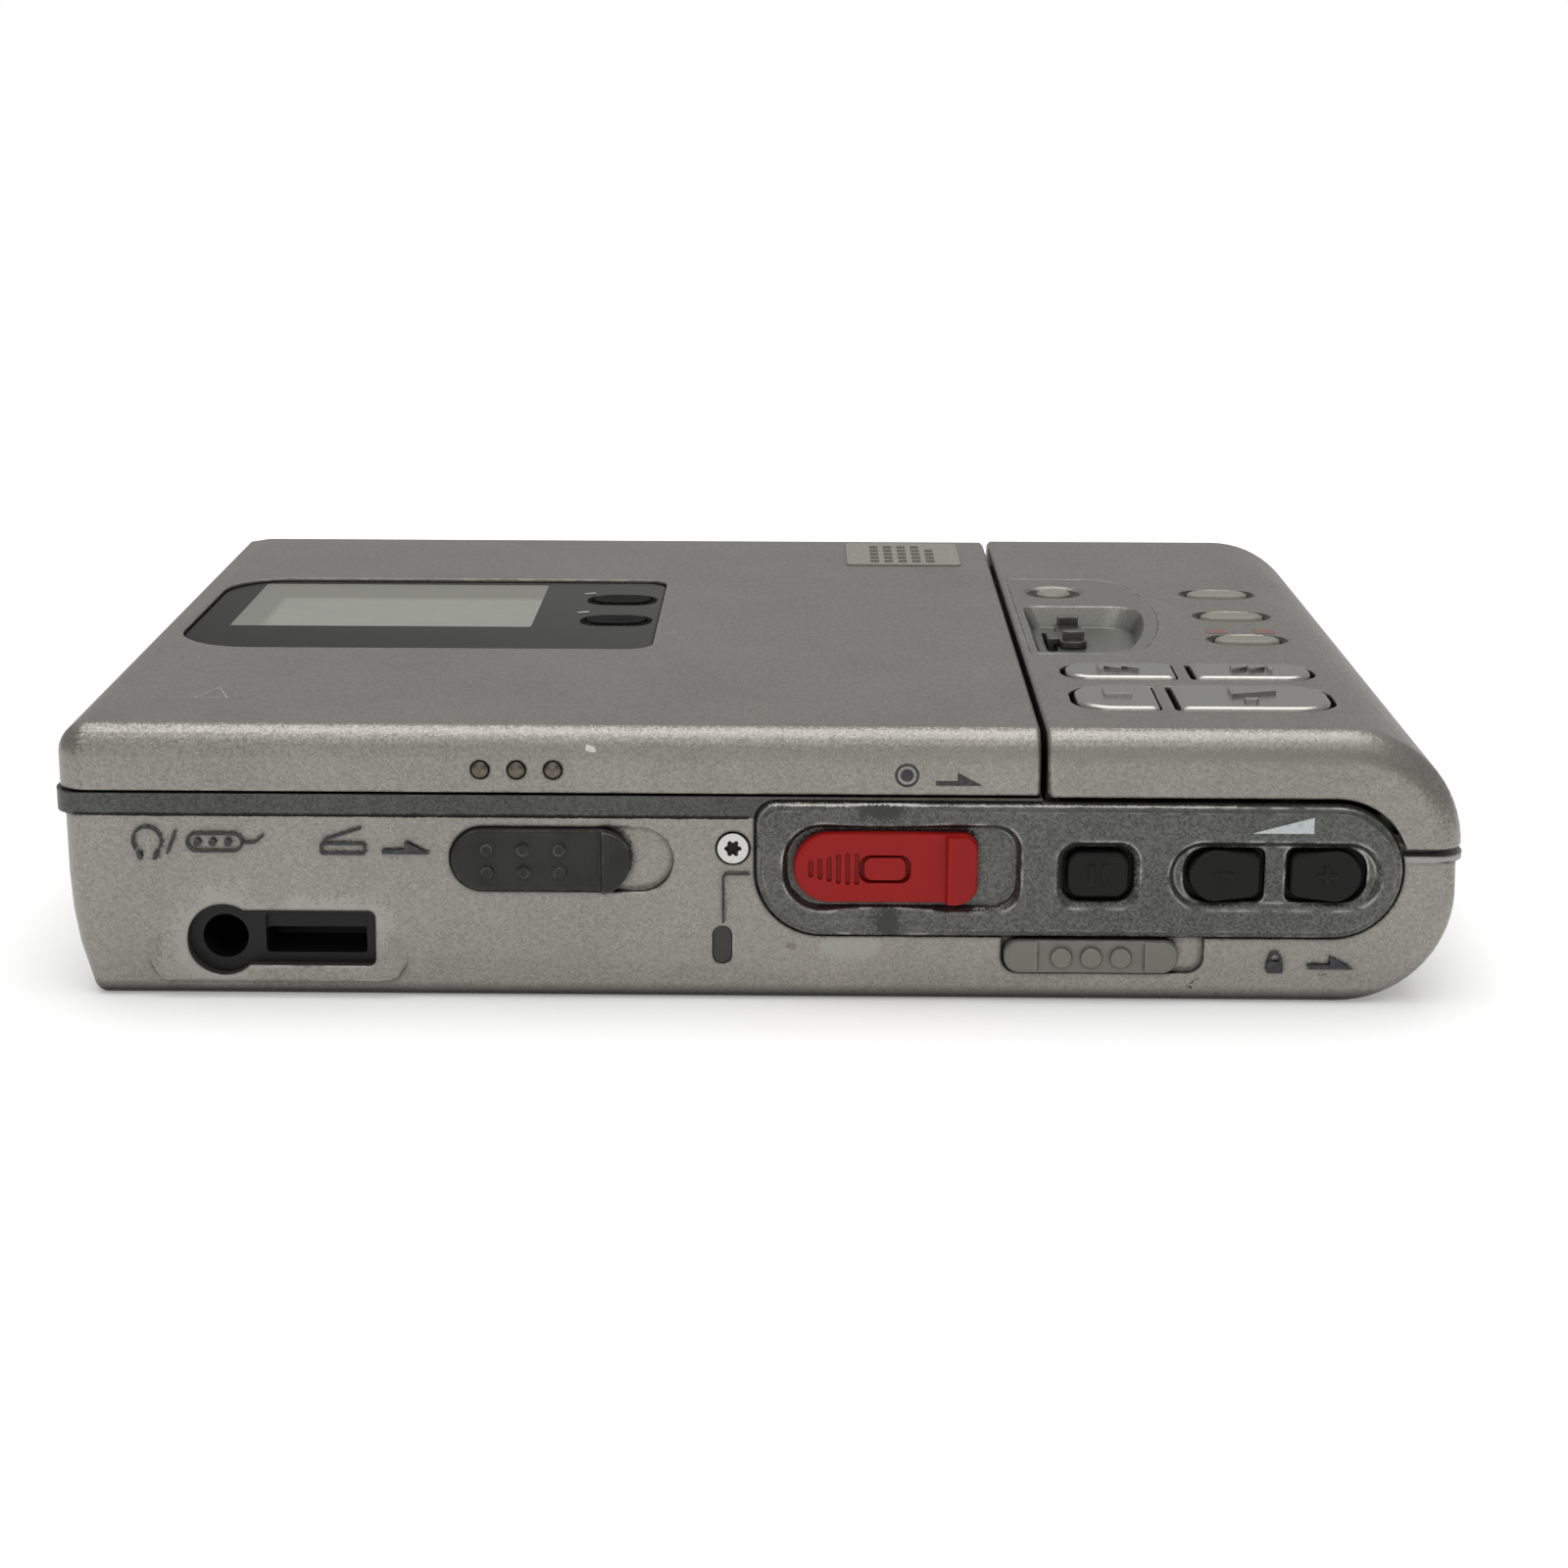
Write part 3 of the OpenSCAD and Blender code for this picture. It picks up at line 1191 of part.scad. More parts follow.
module front_key_board() {
  color("darkgreen") union() {
    front_block(front_board_y, front_board_t)
      soft_rect(deck_x0 + wall + 0.2, panel_z + 1, panel_x1 + 0.5, panel_z + 9.5, [0.5, 0.5, 0.5, 0.5]);
    for (x = [pause_x, minus_x, plus_x])
      translate([x, 0, front_key_z]) bar_y(front_board_y - 0.4, 0.5, 1);
    // feet that stand on the floor
    for (x = [panel_x0 + 25, panel_x1 - 8])
      span([x, front_board_y, floor_t], [x + 2, front_board_y + front_board_t, panel_z + 2]);
  }
}

module hinge_shaft() {
  color("silver") translate([0, hinge_y, hinge_z]) bar_x(shaft_x0, deck_x0 + wall - shaft_x0 - 0.1,
    shaft_r);
}

// Outer form of the lid
module lid_form() {
  fy = y_front + edge_r;
  tz = case_h - edge_r;
  hull() {
    translate([lid_x0 + edge_r, fy, tz]) sphere(edge_r, $fn = hull_fn);
    translate([lid_x0 + edge_r, fy, lid_z0]) cylinder(h = 1, r = edge_r, $fn = hull_fn);
    translate([0, fy, tz]) rotate([0, 90, 0]) {
      translate([0, 0, lid_x1 - 3]) cylinder(h = 2.7, r = edge_r, $fn = hull_fn);
      translate([0, 0, lid_x1 - 3]) cylinder(h = 3, r = edge_r - 0.3, $fn = hull_fn);
    }
    span([lid_x1 - 3, y_front, lid_z0], [lid_x1 - 0.3, y_front + 1, lid_z0 + 1]);
    span([lid_x1 - 3, y_front + 0.3, lid_z0], [lid_x1, y_front + 1, lid_z0 + 1]);
    // round back, its left corner softened
    translate([0, hinge_y, hinge_z]) rotate([0, 90, 0]) {
      translate([0, 0, lid_x0 + edge_r]) cylinder(h = lid_w - edge_r - 0.3, r = barrel_r, $fn = 48);
      translate([0, 0, lid_x0 + 0.6]) cylinder(h = lid_w - 0.6, r = barrel_r - 0.3, $fn = 48);
      translate([0, 0, lid_x0]) cylinder(h = lid_w, r = barrel_r - edge_r * 0.55, $fn = 48);
    }
    translate([lid_x0, hinge_y - 0.5, lid_z0]) cube([1, 0.5, 1.5]);
  }
}

module window_face(inset) {
  r = max(0.3, 7 - inset);
  q = max(0.3, 2.2 - inset);
  x0 = lid_x0 + window_margin;
  y0 = y_front + window_front;
  soft_rect(x0 + inset, y0 + inset, x0 + window_w - inset, y0 + window_d - inset, [r, q, q, r - 1]);
}

window_key_x = lid_x0 + window_margin + window_w - 3.9;
window_key_y = y_front + window_front + 18.2;
lcd_x0 = lid_x0 + window_margin + 3.2;
lcd_y0 = y_front + window_front + 10.7;
lcd_z = case_h - window_t - 1.3;

module lid() {
  color("silver") difference() {
    union() {
      difference() {
        lid_form();
        span([x_left - 1, y_front - 1, 0], [x_right, y_back + 1, lid_z0]);
        span([lid_in_x0, y_front + wall, 0], [lid_in_x1, hinge_y, lid_under_z]);
        translate([0, hinge_y, hinge_z]) bar_x(lid_in_x0, lid_in_x1 - lid_in_x0, barrel_in_r);
        // open underside of the round back
        span([lid_in_x0, hinge_y - 6, 0], [lid_in_x1, hinge_y + barrel_in_r * 0.75, hinge_z]);
      }
      // knuckle beside the left ear
      translate([0, hinge_y, hinge_z]) bar_x(shaft_x0 + ear_t + 0.2, 2, ear_r);
      span([shaft_x0 + ear_t + 0.2, hinge_y - 1, hinge_z], [shaft_x0 + ear_t + 2.2, hinge_y + 1,
        case_h - 0.6]);
    }
    translate([0, 0, case_h - window_t]) linear_extrude(2) window_face(-seat_fit);
    translate([0, 0, lid_under_z - 1]) linear_extrude(3) window_face(1);
    translate([0, hinge_y, hinge_z]) bar_x(shaft_x0 + ear_t, lid_w, shaft_hole_r);
    // room for the control panel
    front_block(y_front - 2, wall + 3) panel_face(-cover_panel_gap);
    // seats of the grip studs
    for (i = [-1, 0, 1]) translate([lid_x0 + 36.2 + i * stud_pitch, 0, lid_z0 + 1.8])
      bar_y(y_front - 1, 1.4, stud_d / 2 + 0.12);
  }
}

module lid_window() {
  color("#3c3c3c") difference() {
    translate([0, 0, case_h - window_t]) linear_extrude(window_t - window_sink) window_face(0);
    for (s = [-1, 1]) translate([0, 0, case_h - 3]) linear_extrude(5)
      slot(window_key_x, window_key_y + s * window_key_pitch / 2, window_key_w + 2 * key_play,
      window_key_d + 2 * key_play);
  }
}

module lcd_panel() {
  color("#8c9488") span([lcd_x0, lcd_y0, lcd_z], [lcd_x0 + lcd_w, lcd_y0 + lcd_d, case_h - window_t]);
}

module window_key(y) {
  translate([0, 0, lcd_z + 0.1]) linear_extrude(case_h - 0.15 - lcd_z - 0.1)
    slot(window_key_x, y, window_key_w, window_key_d);
  translate([0, 0, lcd_z + 0.1]) linear_extrude(flange_t - 0.1)
    slot(window_key_x, y, window_key_w + 1, window_key_d + 1);
}

module display_key() {
  color("#101010") window_key(window_key_y + window_key_pitch / 2);
}

module mode_key() {
  color("#101010") window_key(window_key_y - window_key_pitch / 2);
}

module lid_plate() {
  z0 = plate_top_z - lid_plate_t;
  color("lightgray") {
    translate([0, 0, z0]) linear_extrude(lid_plate_t)
      soft_rect(lid_in_x0 + 0.4, y_front + wall + 0.5, lid_in_x1 - 0.4, hinge_y - barrel_in_r - 0.8,
        [2, 1, 1, 2]);
    // bosses against the lid top
    for (p = [[lid_in_x0 + 4, y_front + 12], [lid_in_x1 - 4, y_front + 12], [lid_in_x1 - 6, hinge_y - 8]])
      translate([p[0], p[1], plate_top_z - 0.05]) cylinder(h = lid_under_z - plate_top_z + 0.05, r = 2);
    // pad under the liquid crystal panel
    span([lcd_x0 + 2, lcd_y0 + 2, plate_top_z - 0.05], [lcd_x0 + lcd_w - 2, lcd_y0 + lcd_d - 2, lcd_z]);
    // hangers of the disc holder
    for (x = [disc_x - holder_w / 2 + 4, disc_x + holder_w / 2 - 2.6])
      for (y = [holder_y0 + 6, holder_y0 + holder_d - 6])
        translate([x, y, holder_top_z]) cylinder(h = z0 - holder_top_z + 0.05, r = 1.2);
  }
}

module disc_holder() {
  x0 = disc_x - holder_w / 2;
  x1 = disc_x + holder_w / 2;
  y1 = holder_y0 + holder_d;
  color("lightgray") difference() {
    span([x0, holder_y0, holder_z0], [x1, y1, holder_top_z]);
    span([x0 + sheet_t, holder_y0 - 1, holder_z0 + sheet_t], [x1 - sheet_t, y1 - sheet_t,
      holder_top_z - sheet_t]);
    span([x0 + rail_w, holder_y0 - 1, holder_z0 - 1], [x1 - rail_w, y1 + 1, holder_z0 + 2 * sheet_t]);
    // low back edge, so that the drive has room
    span([x0 + rail_w, y1 - 1, holder_z0 - 1], [x1 - rail_w, y1 + 1, holder_top_z - 2]);
    // slot of the magnetic head
    translate([0, 0, holder_top_z - 1]) linear_extrude(2)
      soft_rect(lens_x - 4, disc_y - 5, lens_x + sled_travel + 4, disc_y + 5, [1, 1, 1, 1]);
    // lightening windows
    translate([0, 0, holder_top_z - 1]) linear_extrude(2) {
      soft_pad(disc_x - 18, disc_y, 22, 40, 4);
      soft_pad(disc_x + 12, disc_y + 20, 26, 12, 3);
      soft_pad(disc_x + 12, disc_y - 20, 26, 12, 3);
    }
    // finger notch at the mouth
    translate([disc_x, holder_y0 - 6, holder_top_z - 1]) cylinder(h = 3, r = 14);
  }
}

module grip_studs() {
  color("#8a7a62") for (i = [-1, 0, 1])
    translate([lid_x0 + 36.2 + i * stud_pitch, y_front, lid_z0 + 1.8]) rotate([90, 0, 0]) {
      translate([0, 0, -0.4]) cylinder(h = 0.4, r = stud_d / 2);
      intersection() {
        translate([0, 0, 0.3 - stud_d * 0.85]) sphere(stud_d * 0.85);
        translate([0, 0, -0.2]) cylinder(h = 1, r = stud_d / 2);
      }
    }
}

catch_x = open_x0 + open_w / 2 + 5;
catch_y = y_front + 2.7;

module lid_catch() {
  z0 = plate_top_z - lid_plate_t;
  color("lightgray") {
    span([catch_x, catch_y, open_mid_z - 0.4], [catch_x + 3, catch_y + 0.8, z0]);
    span([catch_x - 0.8, catch_y, open_mid_z - 0.4], [catch_x + 0.1, catch_y + 0.8, open_mid_z + 0.7]);
  }
}

module head_arm() {
  x0 = lens_x - 2;
  z0 = holder_top_z + 0.2;
  color("silver") difference() {
    union() {
      span([x0, disc_y - 2, z0], [x0 + 4, hinge_y - 0.5, z0 + arm_t]);
      translate([0, hinge_y, hinge_z]) bar_x(x0, 4, shaft_r + 0.8);
      span([x0, hinge_y - shaft_r - 0.8, z0], [x0 + 4, hinge_y, hinge_z]);
    }
    translate([0, hinge_y, hinge_z]) bar_x(x0 - 1, 6, shaft_hole_r);
    // long window that makes the arm springy
    span([x0 + 1.2, disc_y + 6, z0 - 1], [x0 + 2.8, hinge_y - 8, z0 + 2]);
  }
}

module magnetic_head() {
  color("#2a2a2a") span([lens_x - 1.6, disc_y - 1.8, holder_top_z - sheet_t - 0.05],
    [lens_x + 1.6, disc_y + 1.8, holder_top_z + 0.2]);
}

// Outline of the opening slider: round left end, slanted right cap
module open_face(inset) {
  slot(open_x0 + open_w / 2, open_mid_z, open_w - 2 * inset, open_h - 2 * inset);
}

module open_slider() {
  ridge_x = open_x0 + open_w - 2.5;
  color("#4a4b49") union() {
    soft_front(open_face_y, open_recess_y - open_face_y - rec_floor_gap, 0.4) {
      open_face(0);
      open_face(0.12);
      open_face(0.4);
    }
    // ridge at the right end
    intersection() {
      front_block(open_ridge_y, open_recess_y - open_ridge_y - 0.3) open_face(0);
      translate([ridge_x, open_face_y + 0.2, open_mid_z - open_h]) linear_extrude(2 * open_h)
        polygon([[0, 0], [0.25, -0.8], [0.75, -0.8], [2.3, -0.1], [2.4, 0]]);
    }
    // six small nubs
    for (i = [0, 1, 2]) for (k = [-1, 1])
      translate([open_x0 + 2.9 + i * stud_pitch, 0, open_mid_z + k * 0.92])
        bar_y(open_face_y - 0.25, 0.4, 0.48);
    // stem to the latch behind the wall
    front_block(open_recess_y - 0.2, front_wall - case_recess_d + 0.25)
      slot(open_x0 + open_w / 2, open_mid_z, open_w * 0.45, stem_h);
  }
}

module open_latch() {
  y0 = cave_y0 + 0.05;
  finger_x = catch_x - 0.95 - open_travel;
  color("lightgray") {
    span([open_x0 + open_w * 0.2, y0, open_mid_z - 1.4], [open_x0 + open_w * 0.8, y0 + clip_t,
      open_mid_z + 1.4]);
    span([finger_x - 1.2, y0, open_mid_z - 0.6], [finger_x, catch_y + 0.8, open_mid_z + 0.6]);
  }
}

module rec_face(inset) {
  r = rec_h / 2 - inset;
  soft_rect(rec_x0 + inset, rec_mid_z - rec_h / 2 + inset, rec_x0 + rec_w - inset,
    rec_mid_z + rec_h / 2 - inset,
    [r, 1.3, 1.3, r]);
}

module record_slider() {
  ridge_x = rec_x0 + rec_w - 2.6;
  back_y = rec_recess_y - rec_floor_gap;
  color("firebrick") difference() {
    union() {
      soft_front(rec_face_y, back_y - rec_face_y, 0.4) {
        rec_face(0);
        rec_face(0.12);
        rec_face(0.4);
      }
      // ridge near the right end
      intersection() {
        front_block(rec_ridge_y, back_y - rec_ridge_y - 0.3) rec_face(0.1);
        translate([ridge_x, rec_face_y + 0.2, rec_mid_z - rec_h]) linear_extrude(2 * rec_h)
          polygon([[0, 0], [0.25, -0.9], [0.85, -0.9], [2.3, -0.1], [2.4, 0]]);
      }
      // stem and clip behind the panel
      front_block(back_y - 0.2, panel_y1 - back_y + 0.3)
        slot(rec_x0 + rec_w / 2, rec_mid_z, rec_w * 0.4, stem_h);
      front_block(panel_y1 + 0.05, clip_t)
        slot(rec_x0 + rec_w / 2, rec_mid_z, rec_w * 0.55, stem_h + 2.4);
    }
    // ribbed hollow at the left
    for (i = [0 : 5]) front_block(rec_face_y - 1, 1.3)
      slot(rec_x0 + 1.35 + i * 0.72, rec_mid_z, 0.36, min(2.6, 1.4 + i * 0.35));
    // seat of the lock key
    front_block(rec_face_y - 1, 1.9) soft_pad(lock_x, rec_mid_z, lock_w + 0.8, lock_h + 0.5, 0.8);
  }
}

module record_lock() {
  color("firebrick") front_block(rec_face_y + 0.05, 0.9 - lock_travel - 0.1)
    soft_pad(lock_x, rec_mid_z, lock_w, lock_h, 0.6);
}

module hold_face(inset) {
  soft_pad(hold_x0 + hold_w / 2, hold_mid_z, hold_w - 2 * inset, hold_h - 2 * inset,
    hold_h * 0.44 - inset * 0.8);
}

module hold_slider() {
  back_y = y_front + case_recess_d - 0.05;
  color("#7f7f78") union() {
    difference() {
      soft_front(hold_face_y, back_y - hold_face_y, 0.5) {
        hold_face(0);
        hold_face(0.12);
        hold_face(0.45);
      }
      // lower middle between the two ends
      span([hold_x0 + 2.6, hold_face_y - 1, hold_mid_z - hold_h],
        [hold_x0 + hold_w - 2.6, hold_face_y + 0.25, hold_mid_z + hold_h]);
    }
    // three grip discs
    for (i = [-1, 0, 1])
      translate([hold_x0 + hold_w / 2 + i * 2.33, 0, hold_mid_z]) bar_y(hold_face_y - 0.1, 0.5, 0.78);
    // stem and clip behind the wall
    front_block(back_y - 0.2, front_wall - case_recess_d + 0.35)
      slot(hold_x0 + hold_w / 2, hold_mid_z, hold_w * 0.4, 0.9);
    front_block(cave_y0 + 0.08, clip_t) slot(hold_x0 + hold_w / 2, hold_mid_z, hold_w * 0.5, 2.2);
  }
}

// Front key: a cap in the panel and a flange behind it
module front_key() {
  soft_front(front_key_y, panel_y1 - front_key_y + 0.3, 0.3) {
    children(0);
    children(1);
    children(2);
  }
  front_block(panel_y1 + 0.08, flange_t) children(3);
}

module pause_face(inset) {
  soft_pad(pause_x, front_key_z, pause_w - 2 * inset, front_key_h - 2 * inset, 1.1 - inset * 0.6);
}

module pause_key() {
  color("#1c1c1c") union() {
    front_key() {
      pause_face(0);
      pause_face(0.1);
      pause_face(0.3);
      pause_face(-front_key_gap - flange_lip);
    }
    for (s = [-1, 1])
      front_block(front_key_y - 0.15, 0.3) soft_pad(pause_x + s * 0.5, front_key_z, 0.4, 1.7, 0.1);
  }
}

// Volume key with the bar of its raised mark
module volume_key(x, side) {
  front_key() {
    volume_face(x, side, 0);
    volume_face(x, side, -0.1);
    volume_face(x, side, -0.3);
    volume_face(x, side, front_key_gap + flange_lip);
  }
  front_block(front_key_y - 0.15, 0.3) soft_pad(x, front_key_z, 1.6, 0.4, 0.1);
}

module volume_down_key() {
  color("#1c1c1c") volume_key(minus_x, 1);
}

module volume_up_key() {
  color("#1c1c1c") union() {
    volume_key(plus_x, -1);
    front_block(front_key_y - 0.15, 0.3) soft_pad(plus_x, front_key_z, 0.4, 1.6, 0.1);
  }
}

// Deck key: a cap with a soft upper edge over a wider flange
module deck_key(top_z, edge) {
  hull() {
    translate([0, 0, key_flange_z]) linear_extrude(top_z - edge - key_flange_z) children(0);
    translate([0, 0, top_z - edge]) linear_extrude(edge * 0.6) children(1);
    translate([0, 0, top_z - edge]) linear_extrude(edge) children(2);
  }
  translate([0, 0, key_flange_z]) linear_extrude(flange_t) children(3);
}

module transport_key(side, y, d, split) {
  lip = key_rib / 2 - 0.1;
  deck_key(case_h + key_proud, 0.35) {
    row_key(side, y, d, split, 0, key_end_gap);
    row_key(side, y, d, split, -0.08, key_end_gap);
    row_key(side, y, d, split, -0.35, key_end_gap);
    row_key(side, y, d, split, lip, 0);
  }
}

// Raised mark on a key top
module mark(x, y) {
  translate([x, y, case_h + key_proud - 0.1]) linear_extrude(0.4) children();
}

module arrow(x, w, h) {
  polygon([[x, -h / 2], [x + w, 0], [x, h / 2]]);
}

// Two arrows and a bar
module skip_mark(side) {
  arrow(0, side * 1.4, 1.6);
  arrow(side * 1.5, side * 1.4, 1.6);
  translate([side * 3.25, 0]) square([0.35, 1.6], center = true);
}

module previous_key() {
  color("silver") {
    transport_key(-1, rear_row_y, rear_key_d, rear_split_x);
    mark(key_points[0][0] + 1.4, rear_row_y) skip_mark(-1);
  }
}

module next_key() {
  color("silver") {
    transport_key(1, rear_row_y, rear_key_d, rear_split_x);
    mark(key_points[1][0] - 1.4, rear_row_y) skip_mark(1);
  }
}

module stop_key() {
  color("silver") {
    transport_key(-1, front_row_y, front_row_d, front_split_x);
    mark(key_points[2][0], front_row_y + 0.6) square([2.2, 2.2], center = true);
  }
}

module play_key() {
  color("silver") {
    transport_key(1, front_row_y, front_row_d, front_split_x);
    mark(key_points[3][0] - 3.4, front_row_y + 0.8) arrow(0, 3.8, 2.6);
    mark(key_points[3][0] - 2, front_row_y - 2) slot(0, 0, 1.2, 0.5);
  }
}

module oval_key(y) {
  deck_key(case_h + 0.2, 0.4) {
    slot(oval_x, y, oval_w, oval_d);
    slot(oval_x, y, oval_w - 0.25, oval_d - 0.25);
    slot(oval_x, y, oval_w - 0.9, oval_d - 0.9);
    slot(oval_x, y, oval_w + 2 * flange_lip, oval_d + 2 * flange_lip);
  }
}

module oval_key_rear() {
  color("#c4c0b2") oval_key(oval_y + oval_pitch);
}

module oval_key_middle() {
  color("#c4c0b2") oval_key(oval_y);
}

module oval_key_front() {
  color("#c4c0b2") oval_key(oval_y - oval_pitch);
}

module round_key() {
  r = round_key_d / 2;
  top = case_h - 0.15 - key_flange_z;
  color("#c4c0b2") translate([round_x, round_y, key_flange_z]) union() {
    cylinder(h = top, r = r);
    translate([0, 0, top]) cylinder(h = 0.25, r1 = r, r2 = r - 0.3);
    cylinder(h = flange_t, r = r + flange_lip);
  }
}

module jog_lever() {
  x0 = jog_slot_x + 0.75;
  y0 = jog_slot_y + 0.9 - jog_knob_l / 2;
  z0 = jog_floor_z + 0.05;
  foot_y = jog_slot_y - jog_foot_l / 2;
  color("silver") {
    translate([0, 0, z0]) linear_extrude(0.6)
      soft_rect(x0, y0, x0 + jog_knob_w, y0 + jog_knob_l, [0.3, 0.8, 0.8, 0.3]);
    // two finger ridges
    for (y = [y0 + 0.3, y0 + jog_knob_l - 1.1])
      span([x0 + 0.2, y, z0 + 0.5], [x0 + jog_knob_w - 0.3, y + 0.8, z0 + 1.5]);
    // foot through the slot
    span([jog_slot_x - 0.3, foot_y, jog_floor_z - jog_floor_t - 0.3],
      [jog_slot_x + 0.3, foot_y + jog_foot_l, z0 + 0.6]);
    span([jog_slot_x - 0.3, foot_y, z0], [x0 + 0.2, foot_y + jog_foot_l, z0 + 0.6]);
  }
}

bottom_case();
mid_frame();
deck_cover();
control_panel();
jog_insert();
front_socket();
front_screw();
case_screws();
record_lamp();
main_board();
board_chips();
deck_plate();
damper_bushes();
deck_screws();
spindle_motor();
guide_rods();
sled_motor();
mic_socket();
line_socket();
power_socket();
battery();
battery_contacts();
key_board();
front_key_board();
hinge_shaft();
lid();
lid_window();
lcd_panel();
lid_plate();
disc_holder();
grip_studs();
lid_catch();
display_key();
mode_key();
head_arm();
magnetic_head();
open_slider();
open_latch();
record_slider();
record_lock();
pause_key();
volume_down_key();
volume_up_key();
hold_slider();
previous_key();
next_key();
stop_key();
play_key();
oval_key_rear();
oval_key_middle();
oval_key_front();
round_key();
jog_lever();
battery_door();
turntable();
optical_sled();
objective_lens();
lead_screw();
idler_gear();
pinion_gear();
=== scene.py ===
"""Looks of a portable minidisc recorder: its finishes, printed marks, label, light and camera."""

import math

import bmesh
import bpy
from mathutils import Matrix, Vector


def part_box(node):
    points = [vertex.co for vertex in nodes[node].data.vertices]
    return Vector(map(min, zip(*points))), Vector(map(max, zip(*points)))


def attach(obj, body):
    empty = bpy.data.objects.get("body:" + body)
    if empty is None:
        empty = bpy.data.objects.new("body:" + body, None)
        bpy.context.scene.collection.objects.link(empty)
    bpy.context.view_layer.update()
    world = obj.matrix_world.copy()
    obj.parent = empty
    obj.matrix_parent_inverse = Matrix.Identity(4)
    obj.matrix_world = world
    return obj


MM = 0.001

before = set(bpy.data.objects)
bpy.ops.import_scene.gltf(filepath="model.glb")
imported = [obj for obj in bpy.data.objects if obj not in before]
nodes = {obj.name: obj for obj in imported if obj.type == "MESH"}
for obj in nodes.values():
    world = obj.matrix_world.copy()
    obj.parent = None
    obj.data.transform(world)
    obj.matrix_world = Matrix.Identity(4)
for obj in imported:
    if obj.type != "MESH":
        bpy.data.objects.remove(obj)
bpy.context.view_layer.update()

# Places on the case, in metres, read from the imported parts
front_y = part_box("bottom_case")[0].y
panel_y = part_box("control_panel")[0].y
lid_front_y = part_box("lid")[0].y
band_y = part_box("mid_frame")[0].y
lid_top_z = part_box("lid")[1].z
deck_top_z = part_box("deck_cover")[1].z
window_low, window_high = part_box("lid_window")
lcd_low, lcd_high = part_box("lcd_panel")

# Viewpoint of the photograph: place in millimetres, angles in degrees
CAMERA_PLACE = (3.558, -262.85, 76.99)
CAMERA_PITCH = 15.034
CAMERA_YAW = -0.4497
CAMERA_ROLL = -0.2294
CAMERA_LENS = 67.33
SENSOR_WIDTH = 36.0

# How finely the rounded edges and the seams are sampled
EDGE_SAMPLES = 6
SEAM_SAMPLES = 8

# Ink as printed, in millimetres
STROKE_WIDTH = 0.2
INK_THICKNESS = 0.03
WELD_GAP = 0.001


def colour(code):
    """Linear colour of an sRGB hex code."""
    parts = [int(code[i:i + 2], 16) / 255 for i in (1, 3, 5)]
    return [c / 12.92 if c <= 0.04045 else ((c + 0.055) / 1.055) ** 2.4 for c in parts] + [1.0]


def add(tree, kind, inputs=None, **settings):
    """Adds a node, sets its properties, and sets or links its inputs."""
    node = tree.nodes.new(kind)
    for name, value in settings.items():
        setattr(node, name, value)
    for name, value in (inputs or {}).items():
        if isinstance(value, bpy.types.NodeSocket):
            tree.links.new(value, node.inputs[name])
        else:
            node.inputs[name].default_value = value
    return node


def blank_finish(name):
    """A new material with its empty tree."""
    finish = bpy.data.materials.new(name)
    finish.use_nodes = True
    finish.node_tree.nodes.clear()
    return finish, finish.node_tree


def start_finish(name, **surface):
    """A new material whose shader has these fixed values, with its tree and that shader."""
    finish, tree = blank_finish(name)
    values = {key.replace("_", " "): value for key, value in surface.items()}
    shader = add(tree, "ShaderNodeBsdfPrincipled", values)
    add(tree, "ShaderNodeOutputMaterial", {"Surface": shader.outputs["BSDF"]})
    return finish, tree, shader


def link(tree, source, target):
    tree.links.new(source, target)


def worn_and_highlit_edges(tree, place, radius, patch, bend=0.86):
    """How worn and painted-highlit each spot is: 1 on broken patches along the edges, 0 on open faces.

    The pale edge is part wear and part painted highlight. It starts where an edge begins to turn, and is full
    where the cosine of its turn is down to the bend.
    """
    first_turn = 0.985
    whole, broken_up = 0.42, 0.62
    rounded = add(tree, "ShaderNodeBevel", {"Radius": radius * MM}, samples=EDGE_SAMPLES)
    flat = add(tree, "ShaderNodeNewGeometry").outputs["Normal"]
    facing = add(tree, "ShaderNodeVectorMath", {0: rounded.outputs[0], 1: flat}, operation="DOT_PRODUCT")
    edge = add(tree, "ShaderNodeMapRange", {"Value": facing.outputs["Value"], "From Min": first_turn,
                                            "From Max": bend})
    patches = add(tree, "ShaderNodeTexNoise", {"Vector": place, "Scale": 1 / (patch * MM), "Detail": 4.0})
    broken = add(tree, "ShaderNodeMapRange", {"Value": patches.outputs["Fac"], "From Min": whole,
                                              "From Max": broken_up})
    wear_and_highlight = add(tree, "ShaderNodeMath", {0: edge.outputs[0], 1: broken.outputs[0]}, operation="MULTIPLY")
    return wear_and_highlight.outputs[0]


def painted_corner_shade(tree, reach):
    """How much painted shade each spot gets: most of it in corners and seams, none on open faces."""
    unshaded, filled, darkest_shade = 0.95, 0.4, 0.85
    open_sky = add(tree, "ShaderNodeAmbientOcclusion", {"Distance": reach * MM}, samples=SEAM_SAMPLES)
    corner_shade = add(tree, "ShaderNodeMapRange", {"Value": open_sky.outputs["AO"], "From Min": unshaded,
                                            "From Max": filled, "To Max": darkest_shade})
    return corner_shade.outputs[0]


def height_band(tree, place, top, full, foot):
    """1 from a full height down to the foot, and 0 above the top. Heights are in metres."""
    height = add(tree, "ShaderNodeSeparateXYZ", {"Vector": place}).outputs["Z"]
    fade = add(tree, "ShaderNodeMapRange", {"Value": height, "From Min": top, "From Max": full})
    above = add(tree, "ShaderNodeMath", {0: height, 1: foot}, operation="GREATER_THAN")
    band = add(tree, "ShaderNodeMath", {0: fade.outputs[0], 1: above.outputs[0]}, operation="MULTIPLY")
    return band.outputs[0]


